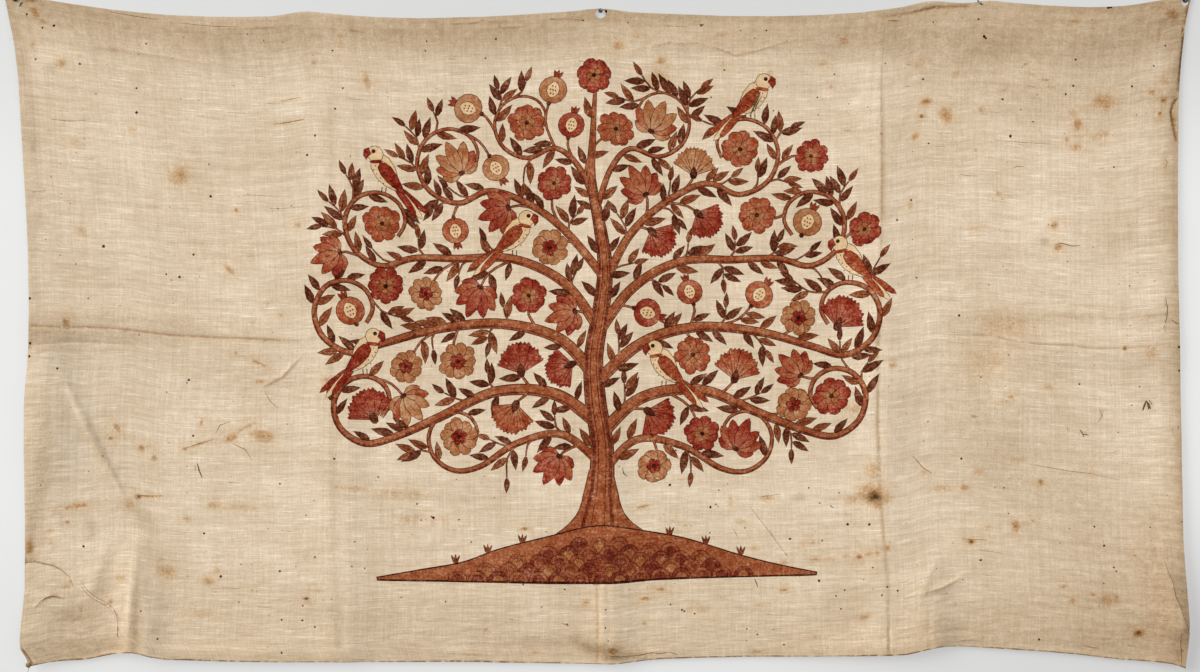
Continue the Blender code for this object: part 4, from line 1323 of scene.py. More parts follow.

# %% [markdown]
# Specks, scribbled threads, thin painted shade lines along some creases and a small tear, whose opening is
# painted dark as the shadow seen through it, have crisp edges, so each is a painted shape of its own, like
# the leaves.
# They are given in hung places, as seen from the front, and are brought back into the flat plane.

# %% The specks and the scribbles
SPECKS = [
    # x, z, radius
    (675, -207, 2.0), (662, -146, 1.5), (875, -125, 1.6), (632, -43, 2.2), (635, -46, 1.5), (623, -14, 1.3),
    (782, -81, 1.6), (778, -124, 1.8), (766, -138, 1.5), (911, -91, 1.4), (930, -58, 1.2), (488, -345, 1.6),
    (590, -502, 1.8), (511, -312, 1.5), (531, -113, 1.5), (520, -440, 1.2), (712, -183, 1.2),
    (845, -258, 1.3), (540, -219, 1.2), (837, 5, 2.4), (841, 6, 1.8), (407, -846, 2.0), (829, -881, 1.8),
    (443, -846, 1.8), (722, -1035, 1.6), (626, -905, 1.6), (489, -955, 1.5), (463, -962, 1.3),
    (472, -949, 1.3), (813, -850, 1.4), (845, -917, 1.5), (849, -923, 1.3), (952, -554, 1.8),
    (952, -593, 1.4), (594, -738, 1.6), (664, -786, 1.2), (887, -619, 1.2), (788, -615, 1.3),
    (626, -604, 1.1), (-764, -168, 2.0), (-764, -128, 1.5), (-857, -88, 1.8), (-748, -55, 1.5),
    (-900, -25, 1.9), (-945, -6, 1.6), (-919, -28, 1.6), (-818, -388, 2.3), (-693, -439, 1.9),
    (-715, -434, 1.5), (-642, -306, 1.8), (-670, -402, 1.7), (-470, -206, 1.7), (-483, -238, 1.6),
    (-938, -474, 2.0), (-843, -474, 1.2), (-889, -403, 1.1), (-645, -253, 1.2), (-581, -39, 1.1),
    (-437, -162, 1.4), (-531, -326, 1.1), (-930, -80, 1.2), (-678, -608, 1.9), (-681, -613, 1.2),
    (-892, -589, 1.6), (-671, -700, 1.8), (-653, -861, 1.6), (-851, -882, 1.9), (-625, -932, 1.9),
    (-528, -923, 1.5), (-491, -1004, 1.6), (-490, -980, 1.3), (-524, -1057, 1.4), (-528, -779, 1.4),
    (-755, -988, 1.2), (-728, -1034, 1.3), (-937, -569, 1.9), (-936, -548, 2.0), (-438, -738, 1.6),
    (-592, -912, 1.1), (166, -25, 1.5), (182, -143, 1.3), (357, -143, 1.3), (-29, -16, 1.3),
    (8.5, -1.5, 2.1), (-525, -1003, 1.4), (-424, -128, 1.4), (-441, -66, 1.5), (-285, -187, 1.5),
    (-288, -67, 1.3), (-172, -47, 1.6), (-189, -79, 1.3), (-286, -51, 1.3), (385, -105, 1.3),
    (204, -98, 1.3), (285, -165, 1.1), (273, -33, 1.2), (469, -87, 1.1), (548, -19, 1.2), (312, -870, 1.6),
    (302, -1044, 1.5), (258, -1027, 1.3), (396, -985, 1.3), (402, -954, 1.3), (388, -964, 1.2),
    (241, -1018, 1.1), (361, -811, 1.2), (365, -873, 1.1), (360, -939, 1.8), (343, -786, 1.2),
    (195, -790, 1.1), (393, -794, 1.2), (180, -860, 1.1), (448, -917, 1.1), (-275, -835, 1.9),
    (-278, -833, 1.3), (-295, -839, 1.2), (-470, -900, 1.2), (-213, -875, 1.3), (-302, -812, 1.2),
    (-366, -768, 1.2), (-470, -1015, 1.3), (-388, -918, 1.2), (-409, -915, 1.2), (-595, -974, 1.2),
    (-233, -838, 1.2), (-255, -973, 1.2), (114, -781, 1.8), (181, -818, 1.7), (190, -813, 1.2),
    (124, -724, 1.3), (115, -978, 1.3), (134, -987, 1.5), (138, -989, 1.3), (155, -993, 1.2),
    (8, -1016, 1.3), (13, -1037, 1.1), (-55, -1011, 1.6), (-127, -945, 1.3), (-59, -953, 1.2),
    (9, -986, 1.2),
]
SCRIBBLES = [
    # width, then the places it passes, x and z
    (1.6, (36, -752), (38, -762), (44, -767)), (3.0, (163, -23), (170, -24)),
    (2.4, (378, -815), (384, -819)), (2.6, (263, -134), (258, -148), (252, -160), (246, -174)),
    (1.8, (266, -140), (257, -156), (253, -168)), (2.6, (892, -659), (895, -650), (898, -642)),
    (3.0, (898, -643), (902, -649), (905, -656)), (2.4, (903, -642), (908, -649)),
    (1.8, (789, -690), (793, -696), (796, -702)), (1.4, (794, -698), (799, -698), (804, -700)),
    (2.0, (-664, -746), (-661, -757), (-656, -770)), (1.4, (-668, -749), (-667, -758)),
    (1.6, (254, -936), (257, -943), (259, -950)), (1.3, (747, -386), (758, -383), (776, -388), (790, -387)),
    (1.1, (930, -471), (933, -490), (932, -506), (926, -524)), (1.1, (939, -509), (946, -514), (953, -517)),
    (2.2, (899, -644), (901, -650), (902, -657)),
]
STREAKS_AND_CREASE_SHADE = [
    # thin dark threads, and thin painted shade lines along some creases: width, then the places they pass, x
    # and z
    (1.9, (-526, -149), (-494, -143)), (2.1, (-538, -187), (-513, -184), (-488, -179)),
    (1.6, (-568, -108), (-549, -110)), (1.6, (-663, -174), (-652, -174)), (1.5, (-503, -233), (-494, -233)),
    (1.3, (-418, -145), (-383, -148)), (1.2, (-614, -168), (-585, -169)), (1.3, (-935, -299), (-912, -296)),
    (1.1, (-589, -304), (-539, -305)), (1.2, (-545, -326), (-490, -323)), (1.8, (-612, -777), (-593, -778)),
    (1.8, (-633, -696), (-627, -683), (-610, -677)), (1.5, (-606, -713), (-585, -723), (-574, -740)),
    (1.4, (-623, -950), (-595, -952)), (1.4, (-526, -856), (-509, -858)), (1.8, (-758, -799), (-720, -799)),
    (1.6, (61, -819), (81, -814)), (2.2, (-150, -1002), (-143, -1003)), (1.8, (-64, -1008), (-51, -1013)),
    (1.8, (264, -801), (296, -796)), (1.4, (105, -25), (144, -27)), (2.2, (-198, -16), (-191, -17)),
    (2.4, (-249, -80), (-239, -81)), (2.6, (-36, -83), (-26, -84)), (1.2, (-275, -82), (-255, -82)),
    (1.2, (21, -40), (27, -48)), (2.2, (-84, -14), (-74, -15)), (1.8, (868, -1046), (881, -1046)),
    (1.3, (793, -1044), (809, -1049), (824, -1050)), (1.7, (702, -124), (716, -126)),
    (1.7, (473, -17), (493, -16)), (1.6, (594, -870), (636, -872)),
    (1.2, (-689, -722), (-661, -713), (-637, -706)), (2.0, (923, -1003), (930, -1003)),
    (1.5, (699, -88), (707, -88)), (2.0, (704, -124), (714, -126)), (1.1, (720, -114), (737, -115)),
    (1.3, (688, -220), (697, -222)), (1.2, (593, -269), (599, -272), (623, -273)),
    (1.2, (678, -260), (684, -257), (697, -257)), (1.5, (821, -260), (828, -260)),
    (1.3, (502, -125), (510, -125)), (1.3, (504, -89), (513, -90)), (1.2, (552, -223), (569, -224)),
    (1.5, (-808, -2), (-763, -10), (-722, -15.5)), (1.2, (-690, -21), (-640, -26), (-596, -27)),
    (1.3, (-565, -981), (-537, -984)), (1.0, (246, -817), (279, -860), (308, -899)),
    (1.2, (270, -994), (300, -996)), (1.3, (216, -850), (221, -857), (225, -866)),
    (1.2, (-272, -128), (-262, -131)),
    # painted shade along the crease at the foot of the middle
    (1.5, (18, -1062), (60, -1062), (86, -1057), (95, -1059), (112, -1056), (127, -1060)),
    (1.3, (-553, -627), (-544, -643), (-531, -655)), (1.6, (702, -124), (709, -125)),
    (1.3, (400, -197), (412, -199)), (1.3, (-905, -179), (-878, -182), (-846, -181)),
    (1.2, (-897, -165), (-876, -166)), (1.2, (-548, -153), (-520, -154)),
    (1.0, (646, -213), (692, -217), (741, -220)), (1.2, (928, -243), (933, -249), (930, -262)),
    (1.6, (611, -667), (622, -668)), (1.3, (637, -712), (638, -719)),
    (1.9, (514, -733), (531, -753), (546, -762)), (1.1, (701, -746), (776, -759), (806, -762), (855, -773)),
    (1.3, (622, -888), (664, -894)), (1.3, (634, -929), (643, -931)), (1.2, (491, -942), (506, -940)),
    (1.4, (709, -838), (716, -844)), (1.1, (840, -728), (853, -725)), (1.6, (941, -688), (942, -699)),
    (1.5, (592, -1037), (615, -1036)), (1.4, (866, -1045), (877, -1046)),
    (1.7, (821, -656), (826, -667), (819, -678)),
    # the lines from here on are painted shade that draws the creases of the lower left corner and of the deep
    # fold at the right foot
    (
        0.9, (-864, -951), (-863, -946), (-859, -943), (-855, -946), (-849, -956), (-840, -965),
        (-829, -972), (-816, -979), (-805, -987), (-800, -995), (-798, -1006), (-798, -1029),
    ),
    (
        0.9, (-854, -942), (-845, -953), (-836, -962), (-825, -969), (-812, -975), (-802, -983),
        (-796, -994), (-794, -1005), (-794, -1029),
    ),
    (
        1.1, (-947, -909), (-930, -908), (-914, -911), (-899, -915), (-887, -921), (-879, -928),
        (-874, -932), (-870, -941), (-867, -948),
    ),
    (1.2, (-928, -981), (-922, -973), (-912, -967), (-902, -964), (-893, -966), (-882, -968)),
    (0.8, (-909, -964), (-893, -959)),
    (
        1.2, (925, -905), (932, -924), (938, -939), (943, -964), (950, -979), (955, -996), (962, -1013),
        (967, -1033), (968, -1048),
    ),
    (1.4, (952, -1023), (952, -1040), (954, -1057), (954, -1077)),
]
TEAR = [
    # the tear beside the left nail, its opening painted dark as the shadow seen through it, and the bare worn
    # threads round it, x and z
    ("worn", [(-962, 14), (-957, 17), (-951, 15), (-948, 11), (-951, 6), (-957, 3), (-963, 5), (-962, 10)]),
    ("slit", [(-957.5, 9), (-955, 14), (-951.5, 14.5), (-953, 11), (-955.5, 6.5), (-957.5, 6)]),
]
SPECK_POINTS, RAGGEDNESS = 9, 0.25
SPECKS_BROADER, SCRIBBLES_BROADER = 1.2, 1.4
DYES.update(
    speck=(78, 43, 23), scribble=(98, 84, 64), streak=(150, 116, 84), worn=(226, 209, 182), slit=(60, 36, 24),
)


def marks_to_paint():
    """The specks, the scribbles, the streaks with their painted shade lines, and the tear with its painted
    shadow, as shapes in the flat plane.
    """
    found, chance = [], random.Random(17)
    for x, z, radius in SPECKS:
        ragged = [chance.uniform(1 - RAGGEDNESS, 1 + RAGGEDNESS) for _ in range(SPECK_POINTS)]
        outline = disc(0, SPECKS_BROADER * radius, SPECK_POINTS, 1, 7 * x) * ragged
        found.append((flat_place(complex(x, z) + outline), "speck", None))
    for dye, broader, strokes in (("scribble", SCRIBBLES_BROADER, SCRIBBLES), ("streak", 1.0, STREAKS_AND_CREASE_SHADE)):
        for width, *passes in strokes:
            found.append((flat_place(stroke(places_in(passes), broader * width, (0.5, 0.4))), dye, None))
    for dye, places in TEAR:
        found.append((flat_place(places_in(places)), dye, None))
    return found


print(len(SPECKS), "specks,", len(SCRIBBLES), "scribbles and", len(STREAKS_AND_CREASE_SHADE), "streaks")

# %% [markdown]
# The sheet's mesh. One call, a constrained Delaunay triangulation, turns the cloth's outline, its holes, all
# painted shapes and a scatter of plain points into one net of triangles in the flat plane. Where shapes lie
# over each other, a triangle takes its dye from the last one painted. The plain points are close together
# across each crease and loose elsewhere, so that the relief has points where it bends.

# %% Points for the relief
PLAIN_SPACING = 14.8 * MM
CREASE_SPACING = 10.0
ACROSS_CREASE = (-2.0, -0.9, 0.0, 0.9, 2.0)
EDGE_SPACING, EDGE_UNEVEN, EDGE_CLEAR = 7.0 * MM, 0.9 * MM, 3 * MM
# how often the wear along the edge comes and goes in a metre, and how much of it is left to chance
WEAR_COMES, WEAR_BY_CHANCE = 22, 0.3
HOLE_POINTS, HOLE_RAGGED, SHANK_CLEAR = 20, 0.07, 0.3
HILL_FOOT_HANGS_AT = complex(-1, -935)
jitter = random.Random(5)


def edge_walk():
    """The cloth's outline in the flat plane, anticlockwise, worn a little inwards here and there."""
    corners = [0, CLOTH_WIDTH, CLOTH_WIDTH + 1j * CLOTH_HEIGHT, 1j * CLOTH_HEIGHT]
    walk = []
    for start, end in zip(corners, corners[1:] + corners[:1]):
        count = round(abs(end - start) / EDGE_SPACING)
        inwards = 1j * (end - start) / abs(end - start)
        for k in range(count):
            place = start + (end - start) * k / count
            wear = 0.5 + 0.5 * noise.noise((place.real * WEAR_COMES, place.imag * WEAR_COMES, 3))
            wear += WEAR_BY_CHANCE * jitter.random()
            walk.append(place + inwards * EDGE_UNEVEN * wear)
    return np.array(walk)


def nail_hole(name):
    """The worn hole round a nail, ragged, with the nail's shank just under its top. The nail stays clear."""
    x, z, shank, half_width, half_height = NAIL_PLACES[name]
    middle = complex(x, z + shank + SHANK_CLEAR - half_height)
    rim = disc(0, 1.0, HOLE_POINTS)
    ragged = np.array([1 + HOLE_RAGGED * jitter.random() * (half_width > 2) for _ in rim])
    return middle + ragged * (rim.real * half_width + 1j * rim.imag * half_height)


def crease_points():
    """Rows of points along every crease, some on its line and some to each side."""
    found = []
    for stations in CREASES.values():
        stations = np.array(stations, float)
        line = smooth_line(places_in(stations), CREASE_SPACING)
        way = np.gradient(line)
        half = np.interp(np.linspace(0, 1, len(line)), np.linspace(0, 1, len(stations)), stations[:, 2])
        found += [line + 1j * way / abs(way) * half * share for share in ACROSS_CREASE]
    return flat_place(np.concatenate(found))


def scattered_points(around):
    """A loose grid of points over the cloth, left out where others are already close."""
    cell = 0.55 * PLAIN_SPACING
    busy = {(int(place.real / cell), int(place.imag / cell)) for place in around}
    columns, rows = round(CLOTH_WIDTH / PLAIN_SPACING), round(CLOTH_HEIGHT / PLAIN_SPACING)
    found = []
    for row in range(1, rows):
        for column in range(1, columns):
            across = (column + 0.5 * (row % 2) - 0.25 + jitter.uniform(-0.15, 0.15)) / columns * CLOTH_WIDTH
            up = (row + jitter.uniform(-0.15, 0.15)) / rows * CLOTH_HEIGHT
            if (int(across / cell), int(up / cell)) not in busy:
                found.append(complex(across, up))
    return np.array(found)


edge = edge_walk()
holes = [flat_place(nail_hole(name)) for name in NAIL_PLACES]
hill_foot_place = flat_place([HILL_FOOT_HANGS_AT])[0]
patches = [(edge, None, None)]
patches += [(hill_foot_place + MM * outline, dye, fade) for outline, dye, fade in painted]
patches += marks_to_paint()
patches += [(hole, "hole", None) for hole in holes]
crossings = np.concatenate([crease_points(), stain_rings()])
inside = (crossings.real > EDGE_CLEAR) & (crossings.real < CLOTH_WIDTH - EDGE_CLEAR)
inside &= (crossings.imag > EDGE_CLEAR) & (crossings.imag < CLOTH_HEIGHT - EDGE_CLEAR)
crossings = crossings[inside]
print(len(patches), "patches")

# %% [markdown]
# Most of the painting is hidden by what was painted over it, and hidden edges would cost tens of thousands of
# triangles. So the net is made twice. The first one, of the painted shapes alone, shows which edges lie
# between two different top shapes. Only those go into the second net, together with the points for the
# relief, and each of its triangles asks the first net which shape it belongs to. Four points some way off the
# cloth give both nets an outside, which makes the cloth's own outline an edge between two shapes as well.

# %% A first net that finds what shows
LINE_SLACK = 0.15 * MM
LONGEST_SIDE, LONGEST_STRAIGHT = 12 * MM, 20 * MM
SAME_PLACE = 0.03 * MM
FRAME_AROUND = 0.1
OUTSIDE = -1


def net(places, edges=(), faces=()):
    """Points, triangles and, for each triangle, the input faces that cover it."""
    vectors = [Vector((place.real, place.imag)) for place in places]
    result = delaunay_2d_cdt(vectors, list(edges), list(faces), 0, SAME_PLACE, True)
    return np.array([complex(*point) for point in result[0]]), np.array(result[2]), result[5]


def sides_of(triangles):
    """The two ends of every side: first of each triangle's first side, then of its second and its third."""
    return np.sort(np.concatenate([triangles[:, [k, (k + 1) % 3]] for k in range(3)]), axis=1)


def turned_anticlockwise(outline):
    """The outline, run round the other way if it went clockwise."""
    area = np.sum((np.conj(outline) * np.roll(outline, -1)).imag)
    return outline if area > 0 else outline[::-1]


def with_short_sides(outline):
    """The same outline, with points added wherever two of them are far apart, so that it can bend."""
    ends = np.roll(outline, -1)
    counts = np.maximum(np.ceil(abs(ends - outline) / LONGEST_SIDE), 1)
    return np.concatenate([
        start + (end - start) * np.arange(count) / count for start, end, count in zip(outline, ends, counts)
    ])


outlines = [with_short_sides(turned_anticlockwise(outline)) for outline, _, _ in patches]
starts = np.cumsum([0] + [len(outline) for outline in outlines])
rings = [list(range(start, end)) for start, end in zip(starts, starts[1:])]
frame_width, frame_height = CLOTH_WIDTH + FRAME_AROUND, CLOTH_HEIGHT + FRAME_AROUND
around = np.array([
    complex(across, up) for across in (-FRAME_AROUND, frame_width) for up in (-FRAME_AROUND, frame_height)
])
first_points, first_triangles, covers = net(np.concatenate(outlines + [around]), faces=rings)
first_patch = np.array([
    max(cover) if 0 in cover and patches[max(cover)][1] != "hole" else OUTSIDE for cover in covers
])
beside = {}
for pair, patch in zip(map(tuple, sides_of(first_triangles)), np.tile(first_patch, 3)):
    beside.setdefault(pair, set()).add(patch)
visible = [pair for pair, found in beside.items() if len(found) > 1]


def straightened(pairs, places, slack):
    """The same edges without the points that lie within the slack of a straight line between two others."""
    neighbours = {}
    for start, end in pairs:
        neighbours.setdefault(start, set()).add(end)
        neighbours.setdefault(end, set()).add(start)
    for point in list(neighbours):
        if len(neighbours[point]) != 2:
            continue
        start, end = neighbours[point]
        chord = places[end] - places[start]
        away = abs(((places[point] - places[start]) / chord).imag) * abs(chord)
        if away < slack and abs(chord) < LONGEST_STRAIGHT and end not in neighbours[start]:
            neighbours[start] = neighbours[start] - {point} | {end}
            neighbours[end] = neighbours[end] - {point} | {start}
            del neighbours[point]
    return np.array([(start, end) for start in neighbours for end in neighbours[start] if start < end])


visible = straightened(visible, first_points, LINE_SLACK)
used = np.unique(visible)
print(len(first_points), "points in the first net,", len(used), "of them kept on edges that show")

# %% The net of the cloth
drawn = first_points[used]
plain = scattered_points(np.concatenate([drawn, crossings]))
numbers = np.searchsorted(used, visible)
flat, triangles, _ = net(np.concatenate([drawn, crossings, plain, around]), edges=numbers.tolist())
first_net = [(place.real, place.imag, 0) for place in first_points]
finder = BVHTree.FromPolygons(first_net, first_triangles.tolist())
middles = flat[triangles].mean(axis=1)
top_patch = first_patch[[finder.find_nearest((middle.real, middle.imag, 0))[2] for middle in middles]]
triangles, top_patch = triangles[top_patch != OUTSIDE], top_patch[top_patch != OUTSIDE]

# slivers just outside the straightened outline are cut off again
corners = flat[triangles]
ways = np.roll(corners, -1, axis=1) - corners
thinness = abs((np.conj(ways[:, 0]) * ways[:, 1]).imag) / abs(ways).max(axis=1)
_, which, uses = np.unique(sides_of(triangles), axis=0, return_inverse=True, return_counts=True)
on_rim = (uses[which.ravel()] == 1).reshape(3, -1).any(axis=0)
kept = ~(on_rim & (thinness < 2 * LINE_SLACK))
print(np.sum(~kept), "slivers cut off")
triangles, top_patch = triangles[kept], top_patch[kept]
on_cloth = np.unique(triangles)
flat, triangles = flat[on_cloth], np.searchsorted(on_cloth, triangles)
print(len(flat), "points and", len(triangles), "triangles")

# %% [markdown]
# The net is hung: every flat place goes to its place between the edges, and out from the wall as far as its
# folds say. Solidify then makes it a closed sheet of cotton half a millimetre thick, and is applied, so that
# the back can have its own share of the bake map. The dye is kept as a colour on each corner of each
# triangle: how much of each kind of light the full dye lets through, with its strength as alpha. It comes
# through to the back paler, as real dye does. Stains and dirt are kept at the points.

# %% The sheet
COTTON_THICKNESS, BACK_STRENGTH = 0.5 * MM, 0.5
CLEAN_COTTON = (223, 201, 172)
hung = hung_place(flat)
depth = cloth_depth(hung)
hung_points = np.stack([hung.real, -depth, hung.imag], axis=1) * MM


def linear(colour):
    """Red, green and blue as Blender counts light, from 0 to 255 as the eye sees them."""
    share = np.asarray(colour, float) / 255
    return np.where(share < 0.04045, share / 12.92, ((share + 0.055) / 1.055) ** 2.4)


def dye_at_corners():
    """Colour and strength at the three corners of every triangle."""
    looks = np.zeros((len(triangles), 3, 4))
    corners = flat[triangles]
    order = np.argsort(top_patch, kind="stable")
    first = np.searchsorted(top_patch[order], np.arange(len(patches)))
    last = np.searchsorted(top_patch[order], np.arange(len(patches)), side="right")
    for patch, (_, dye, fade) in enumerate(patches):
        here = order[first[patch]:last[patch]]
        if dye is None or not len(here):
            continue
        looks[here, :, :3] = linear(DYES[dye]) / linear(CLEAN_COTTON)
        looks[here, :, 3] = 1.0
        if fade:
            full, weak = (hill_foot_place + MM * place for place in fade[:2])
            share = np.clip(((corners[here] - full) / (weak - full)).real, 0, 1)
            looks[here, :, 3] = 1 + (fade[2] - 1) * share
    return looks


mesh = bpy.data.meshes.new("hanging")
mesh.from_pydata(hung_points.tolist(), [], triangles.tolist())
mesh.shade_smooth()
dye = mesh.attributes.new("dye", "FLOAT_COLOR", "CORNER")
dye.data.foreach_set("color", dye_at_corners().ravel())
marks = np.zeros((len(hung), 4))
marks[:, 0], marks[:, 1] = brown_and_grey(hung)
mesh.attributes.new("marks", "FLOAT_COLOR", "POINT").data.foreach_set("color", marks.ravel())
flat_map = mesh.uv_layers.new(name="flat")
at_corners = flat[triangles].ravel()
flat_map.data.foreach_set("uv", np.stack([at_corners.real, at_corners.imag], axis=1).ravel())
print(len(mesh.polygons), "triangles on the painted side")

# %% Its thickness, and the bake map
FRONT, BACK, RIM = 0, 1, 2
# the bake map: its scale and margin, how much higher the back lies on it, and how wide the rim is
BAKE_SCALE, BAKE_MARGIN, BACK_IS_HIGHER, RIM_WIDTH = 0.455, 0.008, 0.5, 0.001


def read(items, name, columns=1, kind=int):
    """One property of all the items, as an array with a row for each item where there are several columns."""
    values = np.empty(columns * len(items), kind)
    items.foreach_get(name, values)
    return values if columns == 1 else values.reshape(-1, columns)


draft = bpy.data.objects.new("draft", mesh)
scene.collection.objects.link(draft)
solidify = draft.modifiers.new("thickness", "SOLIDIFY")
solidify.thickness = COTTON_THICKNESS
solidify.offset = 0.0
solidify.material_offset = BACK
solidify.material_offset_rim = RIM
for _ in (FRONT, BACK, RIM):
    mesh.materials.append(None)
bpy.context.view_layer.update()
sheet = bpy.data.meshes.new_from_object(draft.evaluated_get(bpy.context.evaluated_depsgraph_get()))
bpy.data.objects.remove(draft)
bpy.data.meshes.remove(mesh)
sheet.name = "hanging"

side = read(sheet.polygons, "material_index")
corner_counts = read(sheet.polygons, "loop_total")
corner_side = np.repeat(side, corner_counts)
corner_point = read(sheet.loops, "vertex_index")
looks = read(sheet.attributes["dye"].data, "color", 4, np.float32)
looks[corner_side != FRONT, 3] *= BACK_STRENGTH
sheet.attributes["dye"].data.foreach_set("color", looks.ravel())

places = read(sheet.uv_layers["flat"].data, "uv", 2, np.float32)
bake = places * BAKE_SCALE + BAKE_MARGIN
bake[corner_side == BACK, 1] += BACK_IS_HIGHER
on_far_rim = (corner_side == RIM) & (corner_point >= len(flat))
outwards = places - np.array([CLOTH_WIDTH, CLOTH_HEIGHT]) / 2
bake[on_far_rim] += RIM_WIDTH * np.sign(outwards[on_far_rim])
sheet.uv_layers.new(name="OFBake").data.foreach_set("uv", bake.ravel())
sheet.polygons.foreach_set("material_index", np.zeros(len(side), int))
sheet.materials.clear()

# the rim is a clean cut, so the light on the face runs on to its very edge
corner_edge = read(sheet.loops, "edge_index")
at_rim = np.isin(np.arange(len(sheet.edges)), corner_edge[corner_side == RIM])
sheet.attributes.new("sharp_edge", "BOOLEAN", "EDGE").data.foreach_set("value", at_rim)

cloth = bpy.data.objects.new("painted_cloth", sheet)
scene.collection.objects.link(cloth)
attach(cloth, "root")
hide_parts(CLOTH)
sheet_triangles = sum(count - 2 for count in corner_counts)
print("the sheet has", sheet_triangles, "triangles")

# %% [markdown]
# Finishes are built from nodes. Three effects are used more than once, so each is a node group of its own,
# with named inputs: threads, a bath of dye, and sprinkled specks. Threads are noise that is stretched along
# one direction until it looks like spun yarn, thick here and thin there. A bath of dye lets through a share
# of each kind of light, to the power of its strength: a weak bath of red then looks like a clear light red,
# where plain mixing with the cloth's colour would look chalky.

# %% Helpers for nodes
def place_node(tree, kind, values=None, **settings):
    """A new node with its settings. A value is set on its socket, and a socket is joined to it."""
    node = tree.nodes.new("ShaderNode" + kind)
    for setting, value in settings.items():
        setattr(node, setting, value)
    for socket, value in (values or {}).items():
        if isinstance(value, bpy.types.NodeSocket):
            tree.links.new(value, node.inputs[socket])
        else:
            node.inputs[socket].default_value = value
    return node


def maths(tree, operation, *values):
    """The result socket of one Math node."""
    return place_node(tree, "Math", dict(enumerate(values)), operation=operation).outputs[0]


def total(tree, parts, start=0.0):
    """The start plus the sum of weight times (socket - 0.5) over the parts."""
    result = 0.0
    for socket, weight in parts:
        centred = maths(tree, "SUBTRACT", socket, 0.5)
        result = maths(tree, "MULTIPLY_ADD", centred, weight, result)
    return maths(tree, "ADD", result, start) if start else result


def ramp(tree, value, low, high):
    """Smoothly from 0 where the value is low to 1 where it is high, whichever of the two is larger."""
    numbers = {"Value": value, "From Min": low, "From Max": high}
    return place_node(tree, "MapRange", numbers, interpolation_type="SMOOTHSTEP").outputs["Result"]


def cloudy(tree, place, scale, detail=2.0, roughness=0.5):
    """Plain noise with this many clouds in a metre."""
    numbers = {"Vector": place, "Scale": scale, "Detail": detail, "Roughness": roughness}
    return place_node(tree, "TexNoise", numbers).outputs[0]


def new_finish(name, roughness, shine):
    """A new material, its nodes and its shader."""
    finish = bpy.data.materials.new(name)
    finish.use_nodes = True
    shader = finish.node_tree.nodes["Principled BSDF"]
    shader.inputs["Roughness"].default_value = roughness
    shader.inputs["Specular IOR Level"].default_value = shine
    return finish, finish.node_tree, shader


def give_surface(tree, shader, colour, height):
    """Joins the colour and the relief, in millimetres, to the shader."""
    tree.links.new(colour, shader.inputs["Base Color"])
    bump = place_node(tree, "Bump", {"Strength": 1.0, "Distance": MM, "Height": height})
    tree.links.new(bump.outputs["Normal"], shader.inputs["Normal"])


def new_effect(name, output, **inputs):
    """An empty node group, with the sockets that its inputs lead to, and a way to join its output."""
    group = bpy.data.node_groups.new(name, "ShaderNodeTree")
    for way, sockets in (("INPUT", inputs), ("OUTPUT", output)):
        for label, kind in sockets.items():
            group.interface.new_socket(label.replace("_", " "), in_out=way, socket_type="NodeSocket" + kind)
    return group, group.nodes.new("NodeGroupInput").outputs, group.nodes.new("NodeGroupOutput").inputs[0]


def use_effect(tree, group, values):
    """The output of the group, placed in the tree with these values."""
    return place_node(tree, "Group", values, node_tree=group).outputs[0]


# %% Threads, dye and specks
spun_threads, given, result = new_effect(
    "spun_threads", {"Tone": "Float"}, Vector="Vector", Length="Float", Width="Float", Seed="Float",
)
parts = place_node(spun_threads, "SeparateXYZ", {0: given["Vector"]})
along = maths(spun_threads, "DIVIDE", parts.outputs["X"], given["Length"])
across = maths(spun_threads, "DIVIDE", parts.outputs["Y"], given["Width"])
cell = place_node(spun_threads, "CombineXYZ", {"X": along, "Y": across, "Z": given["Seed"]}).outputs[0]
spun_threads.links.new(cloudy(spun_threads, cell, 1.0, 1.5), result)

dye_bath, given, result = new_effect(
    "dye_bath", {"Colour": "Color"}, Cloth="Color", Lets_Through="Color", Strength="Float",
)
cloth_parts = place_node(dye_bath, "SeparateColor", {0: given["Cloth"]})
dye_parts = place_node(dye_bath, "SeparateColor", {0: given["Lets Through"]})
dyed = place_node(dye_bath, "CombineColor")
for k in range(3):
    left = maths(dye_bath, "POWER", dye_parts.outputs[k], given["Strength"])
    dye_bath.links.new(maths(dye_bath, "MULTIPLY", cloth_parts.outputs[k], left), dyed.inputs[k])
dye_bath.links.new(dyed.outputs[0], result)

sprinkled, given, result = new_effect(
    "sprinkled", {"Mask": "Float"}, Vector="Vector", Spacing="Float", Radius="Float", Share="Float",
)
often = maths(sprinkled, "DIVIDE", 1.0, given["Spacing"])
spots = place_node(sprinkled, "TexVoronoi", {"Vector": given["Vector"], "Scale": often})
reach = maths(sprinkled, "DIVIDE", given["Radius"], given["Spacing"])
near = ramp(sprinkled, maths(sprinkled, "DIVIDE", spots.outputs["Distance"], reach), 1.3, 0.7)
chance = place_node(sprinkled, "SeparateColor", {0: spots.outputs["Color"]}).outputs[0]
chosen = maths(sprinkled, "LESS_THAN", chance, given["Share"])
sprinkled.links.new(maths(sprinkled, "MULTIPLY", near, chosen), result)


def threads(tree, direction, length, width, seed):
    """Noise drawn out along the threads, for sizes in millimetres."""
    numbers = {"Vector": direction, "Length": length * MM, "Width": width * MM, "Seed": seed}
    return use_effect(tree, spun_threads, numbers)


def bath(tree, colour, lets_through, strength):
    """The colour after a bath of dye."""
    return use_effect(tree, dye_bath, {"Cloth": colour, "Lets Through": lets_through, "Strength": strength})


def sprinkle(tree, place, spacing, radius, share):
    """A mask of specks of this spacing and radius in millimetres, of which a share shows."""
    numbers = {"Vector": place, "Spacing": spacing * MM, "Radius": radius * MM, "Share": share}
    return use_effect(tree, sprinkled, numbers)


print("effects", [group.name for group in (spun_threads, dye_bath, sprinkled)])
